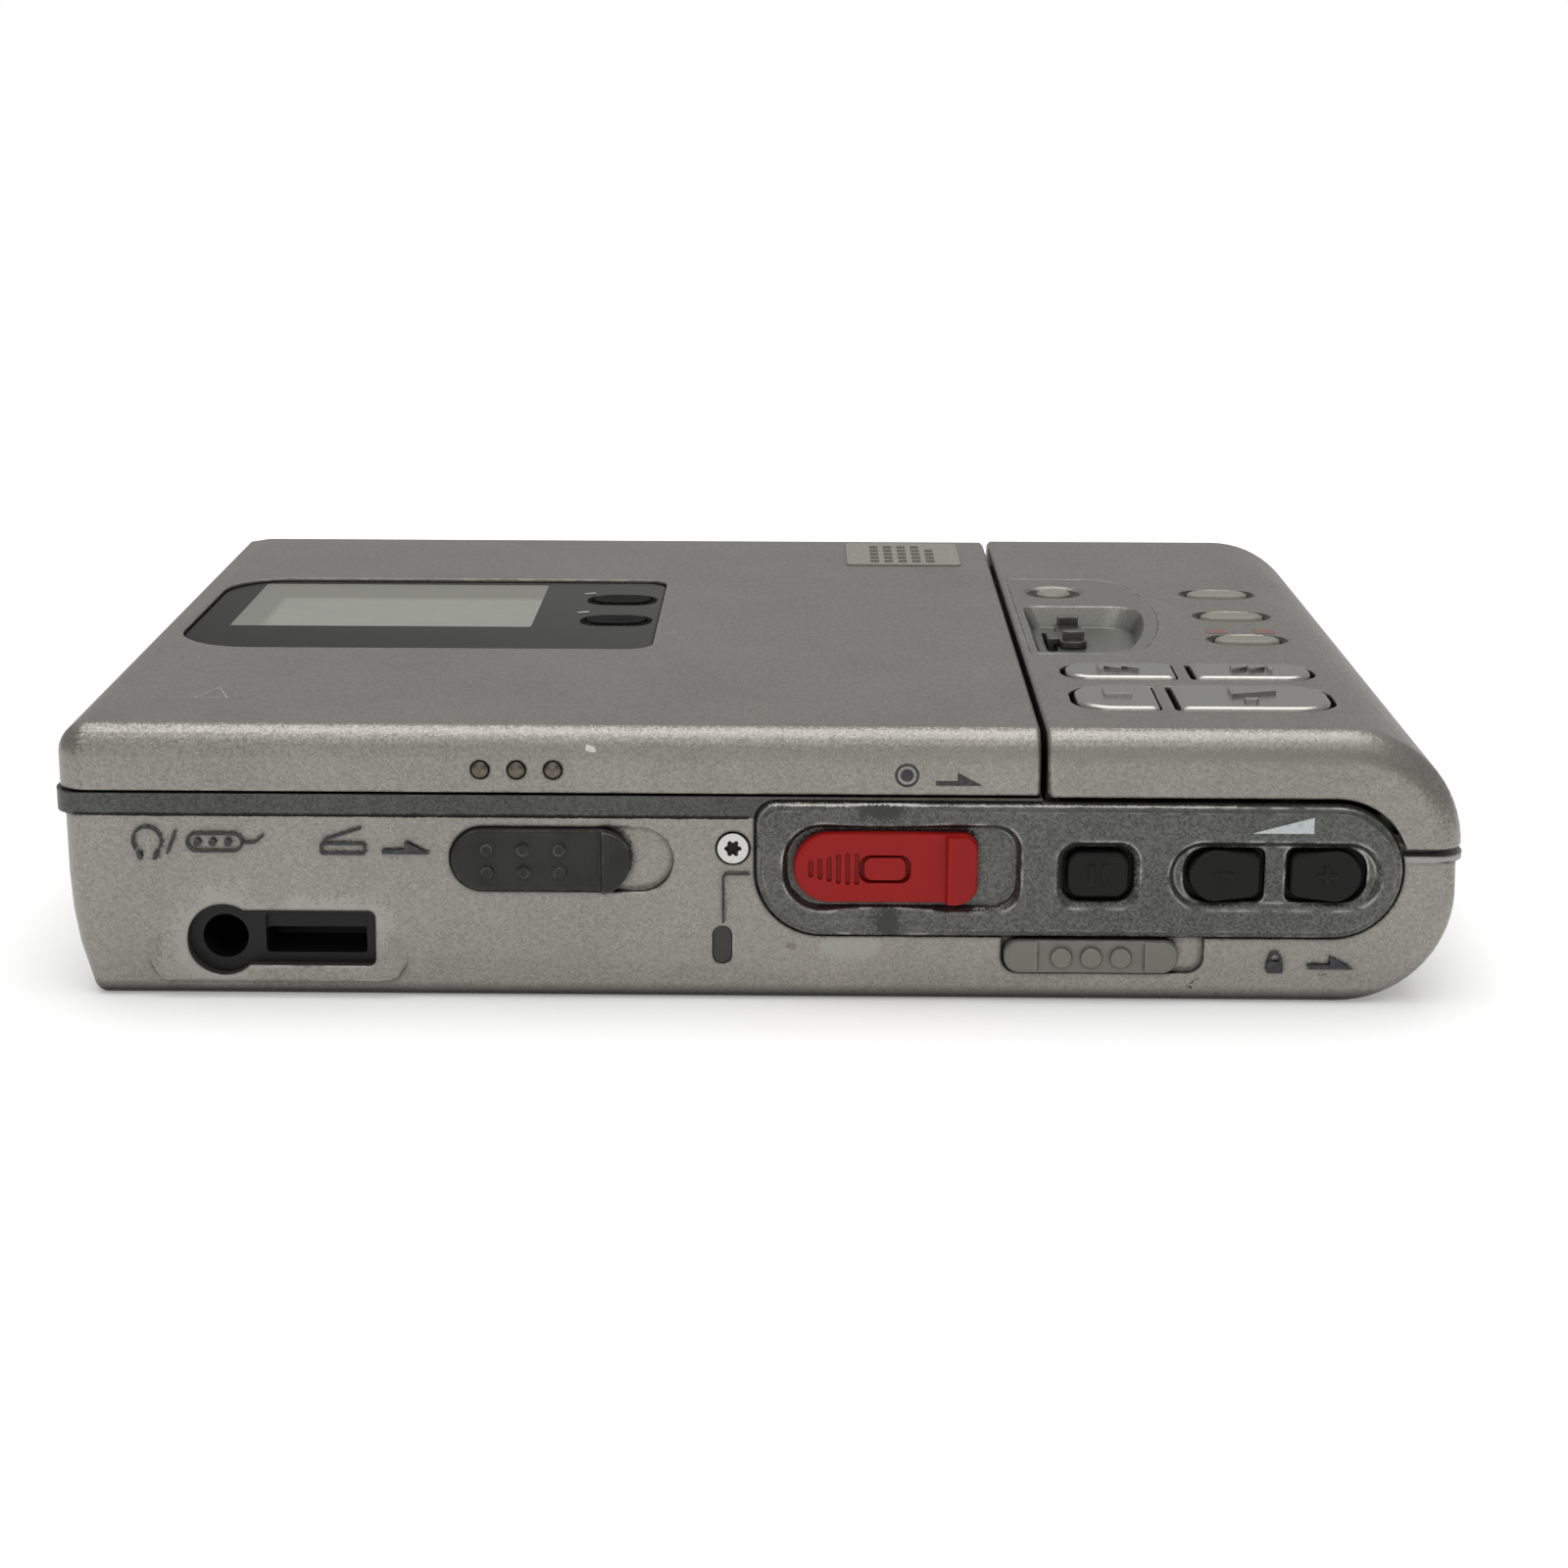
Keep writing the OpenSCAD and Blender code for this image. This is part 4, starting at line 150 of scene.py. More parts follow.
def near_line(tree, place, speckle, start, end, reach, rag=1.0):
    """1 close to a line, given in millimetres, and 0 from a ragged, speckled rim about this far away."""
    wave_size = 1.1
    speckle_share = 0.5
    outer_rim, inner_rim = 1.0 + 0.7 * rag, 1.0 + 0.45 * rag
    first = Vector(start) * MM
    way = Vector(end) * MM - first
    ahead = add(tree, "ShaderNodeVectorMath", {0: place, 1: first}, operation="SUBTRACT")
    share = add(tree, "ShaderNodeVectorMath", {0: ahead.outputs[0], 1: way / way.length_squared},
                operation="DOT_PRODUCT")
    part = add(tree, "ShaderNodeClamp", {"Value": share.outputs["Value"]})
    spot = add(tree, "ShaderNodeVectorMath", {0: way, "Scale": part.outputs[0]}, operation="SCALE")
    away = add(tree, "ShaderNodeVectorMath", {0: ahead.outputs[0], 1: spot.outputs[0]},
               operation="DISTANCE")
    wave = add(tree, "ShaderNodeTexNoise", {"Vector": place, "Scale": 1 / (wave_size * MM), "Detail": 6.0})
    ragged = add(tree, "ShaderNodeMath", {0: wave.outputs["Fac"], 1: rag * reach * MM,
                                          2: away.outputs["Value"]}, operation="MULTIPLY_ADD")
    speckled = add(tree, "ShaderNodeMath", {0: speckle, 1: speckle_share * rag * reach * MM,
                                            2: ragged.outputs[0]}, operation="MULTIPLY_ADD")
    line_mask = add(tree, "ShaderNodeMapRange", {"Value": speckled.outputs[0],
                                              "From Min": outer_rim * reach * MM,
                                              "From Max": inner_rim * reach * MM})
    return line_mask.outputs[0]


def flake_paint(name, dull, bright, flake, lean, metal, rough, wear_and_highlight_code, round_off,
                bend=0.86, wear_and_painted_light_lines=(), shaded=None):
    """Metal flake paint on a moulded shell: every flake has its own shade and lies at its own slant.

    The eye sees a fine glitter that stays soft, brighter along its edges, part wear and part painted
    highlight, with painted shade in its corners and seams.
    Each line mark is a line with a reach, with or without a raggedness, and the colour the paint has there;
    the lines hold marks of wear, darker patches, painted shade and painted highlight.
    A shaded paint has another colour in a band of heights; on the case and the jog insert that colour is
    painted shade.
    """
    cloud_size, cloud_weight = 11, 0.8
    dullest, brightest = 0.1, 1.7
    wear_and_highlight_reach, wear_and_highlight_patch = 0.4, 1.6
    corner_shade_reach, corner_shade_code = 0.7, "#2b2926"
    gloss_spread = 0.07
    finish, tree, shader = start_finish(name, Metallic=metal)
    place = add(tree, "ShaderNodeTexCoord").outputs["Object"]
    flakes = add(tree, "ShaderNodeTexVoronoi", {"Vector": place, "Scale": 1 / (flake * MM)})
    shade = add(tree, "ShaderNodeSeparateColor", {"Color": flakes.outputs["Color"]})
    cloud = add(tree, "ShaderNodeTexNoise", {"Vector": place, "Scale": 1 / (cloud_size * MM), "Detail": 3.0})
    mixed = add(tree, "ShaderNodeMath", {0: cloud.outputs["Fac"], 1: cloud_weight, 2: shade.outputs[0]},
                operation="MULTIPLY_ADD")
    level = add(tree, "ShaderNodeMapRange", {"Value": mixed.outputs[0], "From Min": dullest,
                                             "From Max": brightest})
    paint = add(tree, "ShaderNodeMix", {0: level.outputs[0], 6: colour(dull), 7: colour(bright)},
                data_type="RGBA")
    # Pale edges, part wear and part painted highlight
    layers = [(worn_and_highlit_edges(tree, place, wear_and_highlight_reach, wear_and_highlight_patch, bend), wear_and_highlight_code)]
    layers += [(near_line(tree, place, shade.outputs[2], *line), code) for *line, code in wear_and_painted_light_lines]
    if shaded:
        band_code, heights = shaded
        layers.append((height_band(tree, place, *heights), band_code))
    # Painted shade in the corners and seams
    layers.append((painted_corner_shade(tree, corner_shade_reach), corner_shade_code))
    tone = paint.outputs[2]
    for amount, code in layers:
        coat = add(tree, "ShaderNodeMix", {0: amount, 6: tone, 7: colour(code)}, data_type="RGBA")
        tone = coat.outputs[2]
    link(tree, tone, shader.inputs["Base Color"])
    gloss = add(tree, "ShaderNodeMapRange", {"Value": shade.outputs[1], "To Min": rough - gloss_spread,
                                             "To Max": rough + gloss_spread})
    link(tree, gloss.outputs[0], shader.inputs["Roughness"])
    rounded = add(tree, "ShaderNodeBevel", {"Radius": round_off * MM}, samples=EDGE_SAMPLES)
    slant = add(tree, "ShaderNodeVectorMath", {0: flakes.outputs["Color"], 1: (0.5, 0.5, 0.5)},
                operation="SUBTRACT")
    tipped = add(tree, "ShaderNodeVectorMath", {0: slant.outputs[0], 1: (lean, lean, lean),
                                                2: rounded.outputs[0]}, operation="MULTIPLY_ADD")
    facing = add(tree, "ShaderNodeVectorMath", {0: tipped.outputs[0]}, operation="NORMALIZE")
    link(tree, facing.outputs[0], shader.inputs["Normal"])
    return finish


def moulded_plastic(name, code, light_code, rough, grain=0.16, depth=0.006, round_off=0.14, gloss=0.4,
                    corner_shade=0.35):
    """Moulded plastic: an even colour with a fine spark-eroded grain, pale edges that are part wear and part
    painted highlight, and painted shade in its seams.
    """
    cloud_size, cloud_weight = 3.5, 0.25
    wear_and_highlight_reach, wear_and_highlight_patch = 0.3, 1.2
    shine_spread = 0.08
    finish, tree, shader = start_finish(name, Specular_IOR_Level=gloss)
    place = add(tree, "ShaderNodeTexCoord").outputs["Object"]
    grains = add(tree, "ShaderNodeTexNoise", {"Vector": place, "Scale": 1 / (grain * MM), "Detail": 2.0})
    cloud = add(tree, "ShaderNodeTexNoise", {"Vector": place, "Scale": 1 / (cloud_size * MM), "Detail": 3.0})
    wear_and_highlight = worn_and_highlit_edges(tree, place, wear_and_highlight_reach, wear_and_highlight_patch)
    level = add(tree, "ShaderNodeMath", {0: cloud.outputs["Fac"], 1: cloud_weight, 2: wear_and_highlight},
                operation="MULTIPLY_ADD")
    skin = add(tree, "ShaderNodeMix", {0: level.outputs[0], 6: colour(code), 7: colour(light_code)},
               data_type="RGBA")
    # Painted shade in the seams
    tone = add(tree, "ShaderNodeMix", {0: painted_corner_shade(tree, corner_shade), 6: skin.outputs[2],
                                       7: colour("#161413")}, data_type="RGBA")
    link(tree, tone.outputs[2], shader.inputs["Base Color"])
    shine = add(tree, "ShaderNodeMapRange", {"Value": cloud.outputs["Fac"], "To Min": rough - shine_spread,
                                             "To Max": rough + shine_spread})
    link(tree, shine.outputs[0], shader.inputs["Roughness"])
    rounded = add(tree, "ShaderNodeBevel", {"Radius": round_off * MM}, samples=EDGE_SAMPLES)
    bump = add(tree, "ShaderNodeBump", {"Strength": 0.5, "Distance": depth * MM,
                                        "Height": grains.outputs["Fac"], "Normal": rounded.outputs[0]})
    link(tree, bump.outputs[0], shader.inputs["Normal"])
    return finish


def bare_metal(name, code, dark_code, rough, stretch=(1, 1, 1), grain=0.3, round_off=0.1, corner_shade=0.6,
               painted_shade_line=None):
    """Plated or rolled metal: a bright skin with fine streaks of duller metal, and painted shade in its
    corners.

    A painted shade line is a line with a reach, a raggedness and the colour of the painted shade there.
    """
    shine_spread = 0.1
    finish, tree, shader = start_finish(name, Metallic=1.0)
    place = add(tree, "ShaderNodeTexCoord").outputs["Object"]
    drawn = add(tree, "ShaderNodeMapping", {"Vector": place, "Scale": stretch})
    streaks = add(tree, "ShaderNodeTexNoise", {"Vector": drawn.outputs[0], "Scale": 1 / (grain * MM),
                                               "Detail": 3.0})
    skin = add(tree, "ShaderNodeMix", {0: streaks.outputs["Fac"], 6: colour(dark_code), 7: colour(code)},
               data_type="RGBA")
    # Painted shade in the corners
    tone = add(tree, "ShaderNodeMix", {0: painted_corner_shade(tree, corner_shade), 6: skin.outputs[2],
                                       7: colour("#1f1e1c")}, data_type="RGBA")
    # Painted shade along a line
    if painted_shade_line:
        *line, painted_shade_code = painted_shade_line
        near = near_line(tree, place, streaks.outputs["Fac"], *line)
        tone = add(tree, "ShaderNodeMix", {0: near, 6: tone.outputs[2], 7: colour(painted_shade_code)},
                   data_type="RGBA")
    link(tree, tone.outputs[2], shader.inputs["Base Color"])
    shine = add(tree, "ShaderNodeMapRange", {"Value": streaks.outputs["Fac"], "To Min": rough + shine_spread,
                                             "To Max": rough - shine_spread})
    link(tree, shine.outputs[0], shader.inputs["Roughness"])
    rounded = add(tree, "ShaderNodeBevel", {"Radius": round_off * MM}, samples=EDGE_SAMPLES)
    link(tree, rounded.outputs[0], shader.inputs["Normal"])
    return finish


def smoked_acrylic():
    """Clear acrylic pane with a faint grey tint: mostly seen through, with a soft mirror on top."""
    finish, tree = blank_finish("smoked_acrylic")
    clearest, haziest = 0.04, 0.22
    mirror_share = 0.14
    place = add(tree, "ShaderNodeTexCoord").outputs["Object"]
    haze = add(tree, "ShaderNodeTexNoise", {"Vector": place, "Scale": 1 / (7 * MM), "Detail": 5.0})
    rough = add(tree, "ShaderNodeMapRange", {"Value": haze.outputs["Fac"], "To Min": clearest,
                                             "To Max": haziest})
    through = add(tree, "ShaderNodeBsdfTransparent", {"Color": colour("#f0f0ee")})
    mirror = add(tree, "ShaderNodeBsdfGlossy", {"Roughness": rough.outputs[0]})
    grazing = add(tree, "ShaderNodeFresnel", {"IOR": 1.3})
    share = add(tree, "ShaderNodeMath", {0: grazing.outputs[0], 1: mirror_share}, operation="MULTIPLY")
    pane = add(tree, "ShaderNodeMixShader", {0: share.outputs[0], 1: through.outputs[0],
                                             2: mirror.outputs[0]})
    add(tree, "ShaderNodeOutputMaterial", {"Surface": pane.outputs[0]})
    return finish


def liquid_crystal_glass():
    """Unlit liquid crystal glass: pale grey, a little cloudy, with a painted shadow of its frame along its
    back and left edges.
    """
    back_inner, back_outer = 6.5 * MM, 5.2 * MM
    left_inner, left_outer = 3.4 * MM, 2.6 * MM
    finish, tree, shader = start_finish("liquid_crystal_glass", Roughness=0.35, Specular_IOR_Level=0.2)
    place = add(tree, "ShaderNodeTexCoord").outputs["Object"]
    spot = add(tree, "ShaderNodeSeparateXYZ", {"Vector": place})
    across = add(tree, "ShaderNodeMapRange", {"Value": spot.outputs["Y"], "From Min": lcd_high.y - back_inner,
                                              "From Max": lcd_high.y - back_outer})
    along = add(tree, "ShaderNodeMapRange", {"Value": spot.outputs["X"], "From Min": lcd_low.x + left_inner,
                                             "From Max": lcd_low.x + left_outer})
    painted_frame_shadow = add(tree, "ShaderNodeMath", {0: across.outputs[0], 1: along.outputs[0]}, operation="MAXIMUM")
    dots = add(tree, "ShaderNodeTexNoise", {"Vector": place, "Scale": 1 / (2.5 * MM), "Detail": 4.0})
    field = add(tree, "ShaderNodeMix", {0: dots.outputs["Fac"], 6: colour("#a3a49e"), 7: colour("#b0b1aa")},
                data_type="RGBA")
    face = add(tree, "ShaderNodeMix", {0: painted_frame_shadow.outputs[0], 6: field.outputs[2], 7: colour("#92928c")},
               data_type="RGBA")
    link(tree, face.outputs[2], shader.inputs["Base Color"])
    return finish


def window_print():
    """Dark print under the pane's face, with a painted reflection that lightens it from the front left
    towards the back right.
    """
    share_across, share_along = 0.55, 0.45
    finish, tree, shader = start_finish("window_print", Roughness=0.5, Specular_IOR_Level=0.2)
    place = add(tree, "ShaderNodeTexCoord").outputs["Object"]
    spot = add(tree, "ShaderNodeSeparateXYZ", {"Vector": place})
    across = add(tree, "ShaderNodeMapRange", {"Value": spot.outputs["X"], "From Min": window_low.x,
                                              "From Max": window_high.x, "To Max": share_across})
    along = add(tree, "ShaderNodeMapRange", {"Value": spot.outputs["Y"], "From Min": window_low.y,
                                             "From Max": window_high.y, "To Max": share_along})
    both = add(tree, "ShaderNodeMath", {0: across.outputs[0], 1: along.outputs[0]}, operation="ADD")
    tone = add(tree, "ShaderNodeMix", {0: both.outputs[0], 6: colour("#1d1d1b"), 7: colour("#50504d")},
               data_type="RGBA")
    link(tree, tone.outputs[2], shader.inputs["Base Color"])
    return finish


def printed_ink(name, code, thin_code):
    """Pad printed ink: nearly even, slightly thin and worn in places."""
    sound, thinnest = 0.45, 0.8
    finish, tree, shader = start_finish(name, Roughness=0.5, Specular_IOR_Level=0.3)
    place = add(tree, "ShaderNodeTexCoord").outputs["Object"]
    thin = add(tree, "ShaderNodeTexNoise", {"Vector": place, "Scale": 1 / (0.5 * MM), "Detail": 3.0})
    spots = add(tree, "ShaderNodeMapRange", {"Value": thin.outputs["Fac"], "From Min": sound,
                                             "From Max": thinnest})
    tone = add(tree, "ShaderNodeMix", {0: spots.outputs[0], 6: colour(code), 7: colour(thin_code)},
               data_type="RGBA")
    link(tree, tone.outputs[2], shader.inputs["Base Color"])
    return finish


def ring_shade(key, spare, code):
    """Line of painted shade round a key, in the dish that it stands in, reaching this far past the key."""
    overrun, rag = 0.05, 0.12
    low, high = (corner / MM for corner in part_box(key))
    half = (high.y - low.y) / 2
    middle = (low.y + high.y) / 2
    start = (low.x + half - overrun, middle, deck_top_z / MM)
    end = (high.x - half + overrun, middle, deck_top_z / MM)
    return start, end, half + spare, rag, code


# Marks of use, darker patches and a painted highlight, each a line in millimetres with its reach, at times
# its raggedness, and its colour
SOCKET_RUBS = [((-42.9, -42.5, 4.6), (-42.4, -42.5, 5.2), 4.6, "#989790"),
               ((-36.4, -42.5, 6.3), (-30.9, -42.5, 6.2), 2.3, "#999891")]
CASE_SCUFFS = [((5.9, -42.5, 4.5), (8.4, -42.5, 4.7), 1.2, "#96958e"),
               ((-53.3, -41.8, 8.6), (-53.0, -41.8, 5.0), 0.3, "#5c5a54"),
               ((2.3, -42.5, 4.6), (2.6, -42.5, 4.5), 0.3, "#7b766d"),
               ((33.3, -42.3, 1.1), (34.6, -42.4, 2.1), 0.16, "#4a3c30"),
               ((33.6, -42.3, 1.7), (34.1, -42.4, 1.3), 0.16, "#4a3c30"),
               ((36.1, -42.3, 0.8), (36.3, -42.3, 1.0), 0.14, "#4a3c30"),
               ((44.2, -42.4, 2.5), (44.7, -42.4, 2.5), 0.16, "#6a655d"),
               ((52.9, -42.0, 7.8), (53.3, -42.0, 7.9), 0.16, "#5a554d"),
               ((-13.4, -42.2, 20.5), (-13.0, -42.2, 20.4), 0.25, "#cfcdc6")]
# Darker patches near the record slider, then a painted highlight along the panel's top rim
PANEL_PATCHES_AND_PAINTED_HIGHLIGHT = [((8.4, -43.1, 16.0), (10.4, -43.1, 15.9), 1.2, "#3c3c39"),
              ((9.9, -43.1, 7.0), (10.0, -43.1, 6.0), 1.3, "#3c3c39"),
              ((-0.6, -42.83, 16.32), (13.0, -42.83, 16.32), 0.22, "#c2c1bb"),
              ((13.0, -42.83, 16.32), (37.0, -42.83, 16.32), 0.15, "#b0afa9")]
# Painted shade round the keys on the deck and in the recess of the screw on the front
OVAL_KEY_SHADE = [ring_shade(key, 0.3, "#3c3a34")
             for key in ("oval_key_rear", "oval_key_middle", "oval_key_front")]
ROUND_KEY_SHADE = [ring_shade("round_key", 0.55, "#3f3e38")]
screw_low, screw_high = (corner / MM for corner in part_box("front_screw"))
screw_eye = ((screw_low.x + screw_high.x) / 2, screw_low.y + 0.4, (screw_low.z + screw_high.z) / 2)
screw_back = (screw_eye[0], screw_eye[1] + 0.6, screw_eye[2])
SCREW_RECESS_SHADE = (screw_eye, screw_back, 0.72, 0.5, "#24231f")
# Painted shade in the seam under the band, on the case and on the band
SEAM_Z = 15.0
SEAM_SHADE = [((*start, SEAM_Z), (*end, SEAM_Z), 0.1, "#23211e")
             for start, end in (((-56.0, -42.5), (-1.0, -42.5)), ((-55.2, -42.5), (-55.2, 42.5)),
                                ((-56.0, 42.5), (24.0, 42.5)))]
BAND_EDGE_SHADE = [((-56.0, band_y / MM, 15.05), (-1.0, band_y / MM, 15.05), 0.17, "#141413")]

# The shaded band is painted shade along the foot of the case
champagne = flake_paint("champagne_flake_paint", "#797771", "#9d9991", flake=0.15, lean=0.2, metal=0.9,
                        rough=0.36, wear_and_highlight_code="#b5b2aa", round_off=0.4,
                        wear_and_painted_light_lines=SOCKET_RUBS + CASE_SCUFFS + SEAM_SHADE + OVAL_KEY_SHADE,
                        shaded=("#46443f", (1.4 * MM, 0.4 * MM, 0.03 * MM)))
# The shaded band is painted shade down in the jog well
pewter = flake_paint("pewter_flake_paint", "#767570", "#908f88", flake=0.12, lean=0.08, metal=0.9,
                     rough=0.36, wear_and_highlight_code="#b5b4ad", round_off=0.3, wear_and_painted_light_lines=ROUND_KEY_SHADE,
                     shaded=("#7b7c76", (deck_top_z - 0.2 * MM, deck_top_z - 1.9 * MM, 0.0)))
# Its pale edges are a painted highlight along the panel's rims
graphite = flake_paint("graphite_flake_paint", "#343432", "#6d6d69", flake=0.15, lean=0.2, metal=0.7,
                       rough=0.25, wear_and_highlight_code="#c9c8c2", round_off=0.3, bend=0.93, wear_and_painted_light_lines=PANEL_PATCHES_AND_PAINTED_HIGHLIGHT)
dark_pewter = flake_paint("dark_pewter_paint", "#54534f", "#6b6a66", flake=0.12, lean=0.08, metal=0.8,
                          rough=0.4, wear_and_highlight_code="#8a8983", round_off=0.15)
slate = flake_paint("slate_flake_paint", "#343532", "#5f605c", flake=0.15, lean=0.15, metal=0.6,
                    rough=0.4, wear_and_highlight_code="#5c5d59", round_off=0.2, wear_and_painted_light_lines=BAND_EDGE_SHADE,
                    shaded=("#9b9a96", (13.0 * MM, 12.8 * MM, 0.0)))
charcoal_abs = moulded_plastic("charcoal_abs", "#171715", "#6e6e68", rough=0.45, gloss=0.25, corner_shade=0.5)
grey_abs = moulded_plastic("grey_abs", "#73726a", "#97968b", rough=0.42)
red_abs = moulded_plastic("red_abs", "#991310", "#ad2420", rough=0.4, gloss=0.22, corner_shade=0.09)
pale_abs = moulded_plastic("pale_abs", "#7e7b6f", "#959284", rough=0.42)
black_abs = moulded_plastic("black_abs", "#0f1010", "#1d1e1e", rough=0.45, gloss=0.3)
black_rubber = moulded_plastic("black_rubber", "#131312", "#2b2b29", rough=0.5, gloss=0.19)
soft_black_rubber = moulded_plastic("soft_black_rubber", "#070707", "#141413", rough=0.7, gloss=0.1)
damper_rubber = moulded_plastic("damper_rubber", "#2a2624", "#3d3733", rough=0.75, gloss=0.2)
lamp_plastic = moulded_plastic("lamp_plastic", "#2c2c2a", "#454541", rough=0.3, gloss=0.4)
solder_mask = moulded_plastic("solder_mask", "#2f5a38", "#4a7a4f", rough=0.35, grain=0.6, depth=0.03)
chip_epoxy = moulded_plastic("chip_epoxy", "#1d1d1c", "#2f2f2d", rough=0.6)
cell_wrap = moulded_plastic("cell_wrap", "#3c4148", "#565c64", rough=0.35)
black_resin = moulded_plastic("black_resin", "#222222", "#333331", rough=0.5)
ivory_acetal = moulded_plastic("ivory_acetal", "#d9d4c3", "#e8e4d6", rough=0.4)
lens_plastic = moulded_plastic("lens_plastic", "#5d6c86", "#8090ac", rough=0.08, gloss=0.6)
satin_nickel = bare_metal("satin_nickel", "#aeada8", "#9b9a95", rough=0.27, round_off=0.08, corner_shade=0.06)
bright_nickel = bare_metal("bright_nickel", "#c9c8c3", "#a3a29c", rough=0.22)
screw_nickel = bare_metal("screw_nickel", "#cfcec9", "#aeada8", rough=0.2, corner_shade=0.3, painted_shade_line=SCREW_RECESS_SHADE)
bronze_plate = bare_metal("bronze_plate", "#7b7368", "#4a443c", rough=0.3, round_off=0.25)
rolled_steel = bare_metal("rolled_steel", "#c4c4c0", "#97978f", rough=0.32, stretch=(0.08, 1, 1))
ground_steel = bare_metal("ground_steel", "#d0d0cc", "#a2a29c", rough=0.2, stretch=(1, 0.1, 0.1))
brass = bare_metal("brass", "#c9a958", "#93783a", rough=0.28)
window_pane = smoked_acrylic()
crystal_glass = liquid_crystal_glass()
dark_ink = printed_ink("dark_ink", "#3a3a3d", "#55555a")
white_ink = printed_ink("white_ink", "#c9d1d0", "#a9b0b0")
pale_ink = printed_ink("pale_ink", "#b3b1a8", "#a3a198")
red_ink = printed_ink("red_ink", "#7f5b54", "#7d6a63")
mask_ink = window_print()
label_film = printed_ink("label_film", "#838279", "#94938b")
label_ink = printed_ink("label_ink", "#47463f", "#5a5952")

FINISHES = {
    champagne: "bottom_case deck_cover lid battery_door",
    pewter: "jog_insert",
    dark_pewter: "jog_lever",
    graphite: "control_panel",
    slate: "mid_frame",
    charcoal_abs: "open_slider",
    grey_abs: "hold_slider",
    red_abs: "record_slider record_lock",
    pale_abs: "oval_key_rear oval_key_middle oval_key_front round_key",
    black_abs: "front_socket mic_socket line_socket power_socket",
    black_rubber: "pause_key volume_down_key volume_up_key",
    soft_black_rubber: "display_key mode_key",
    damper_rubber: "damper_bushes",
    lamp_plastic: "record_lamp",
    solder_mask: "main_board key_board front_key_board",
    chip_epoxy: "board_chips",
    cell_wrap: "battery",
    black_resin: "optical_sled open_latch head_arm",
    ivory_acetal: "idler_gear lid_catch",
    lens_plastic: "objective_lens",
    satin_nickel: "previous_key next_key stop_key play_key",
    bright_nickel: "case_screws deck_screws battery_contacts",
    screw_nickel: "front_screw",
    bronze_plate: "grip_studs",
    rolled_steel: "deck_plate lid_plate disc_holder",
    ground_steel: "guide_rods hinge_shaft lead_screw spindle_motor sled_motor turntable magnetic_head",
    brass: "pinion_gear",
    window_pane: "lid_window",
    crystal_glass: "lcd_panel",
}


def dress_parts():
    for finish, names in FINISHES.items():
        for name in names.split():
            for slot in nodes[name].material_slots:
                slot.material = finish


def ways_of_looking(tree):
    """1 for what is seen straight or through the pane, and 1 for what is mirrored."""
    path = add(tree, "ShaderNodeLightPath").outputs
    straight = add(tree, "ShaderNodeMath", {0: path["Is Camera Ray"], 1: path["Is Transmission Ray"]},
                   operation="MAXIMUM")
    return straight.outputs[0], path["Is Glossy Ray"]


def make_world(room_level, mirrored_level):
    """White room: plain white to the eye and through the pane, and softer in metal and as light."""
    world = bpy.data.worlds.new("white_room")
    bpy.context.scene.world = world
    world.use_nodes = True
    tree = world.node_tree
    tree.nodes.clear()
    straight, in_mirror = ways_of_looking(tree)
    seen = add(tree, "ShaderNodeMapRange", {"Value": straight, "To Min": room_level, "To Max": 1.0})
    level = add(tree, "ShaderNodeMath", {0: in_mirror, 1: mirrored_level - room_level,
                                         2: seen.outputs[0]}, operation="MULTIPLY_ADD")
    sky = add(tree, "ShaderNodeBackground", {"Color": (1, 1, 1, 1), "Strength": level.outputs[0]})
    add(tree, "ShaderNodeOutputWorld", {"Surface": sky.outputs[0]})


def make_floor(half_width, shadow_reach, lift, mirrored):
    """Pale paper floor: it keeps the shadow near the object and turns plain white further out.

    What mirrors in the object is the lit paper and a little more, the same at every distance.
    """
    mesh = bpy.data.meshes.new("floor")
    corners = [(x * half_width, y * half_width, 0) for x, y in ((-1, -1), (1, -1), (1, 1), (-1, 1))]
    mesh.from_pydata(corners, [], [(0, 1, 2, 3)])
    floor = bpy.data.objects.new("floor", mesh)
    bpy.context.scene.collection.objects.link(floor)
    finish, tree, shader = start_finish("white_paper", Base_Color=colour("#f4f4f4"), Roughness=1.0,
                                        Specular_IOR_Level=0.0, Emission_Color=(1, 1, 1, 1))
    place = add(tree, "ShaderNodeTexCoord").outputs["Object"]
    away = add(tree, "ShaderNodeVectorMath", {0: place}, operation="LENGTH")
    glow = add(tree, "ShaderNodeMapRange", {"Value": away.outputs["Value"], "From Min": shadow_reach[0],
                                            "From Max": shadow_reach[1], "To Min": lift, "To Max": 1.0})
    straight, in_mirror = ways_of_looking(tree)
    seen = add(tree, "ShaderNodeMath", {0: straight, 1: glow.outputs[0]}, operation="MULTIPLY")
    lit = add(tree, "ShaderNodeMath", {0: in_mirror, 1: mirrored, 2: seen.outputs[0]},
              operation="MULTIPLY_ADD")
    link(tree, lit.outputs[0], shader.inputs["Emission Strength"])
    mesh.materials.append(finish)


def add_softbox(name, place, target, size, level):
    """Soft light panel, placed and sized in millimetres. A level of 1 looks plain white."""
    lamp = bpy.data.lights.new(name, "AREA")
    lamp.shape = "RECTANGLE"
    lamp.size = size[0] * MM
    lamp.size_y = size[1] * MM
    lamp.energy = level * math.pi * lamp.size * lamp.size_y
    panel = bpy.data.objects.new(name, lamp)
    bpy.context.scene.collection.objects.link(panel)
    spot = Vector(place) * MM
    panel.location = spot
    panel.rotation_euler = (Vector(target) * MM - spot).to_track_quat("-Z", "Y").to_euler()


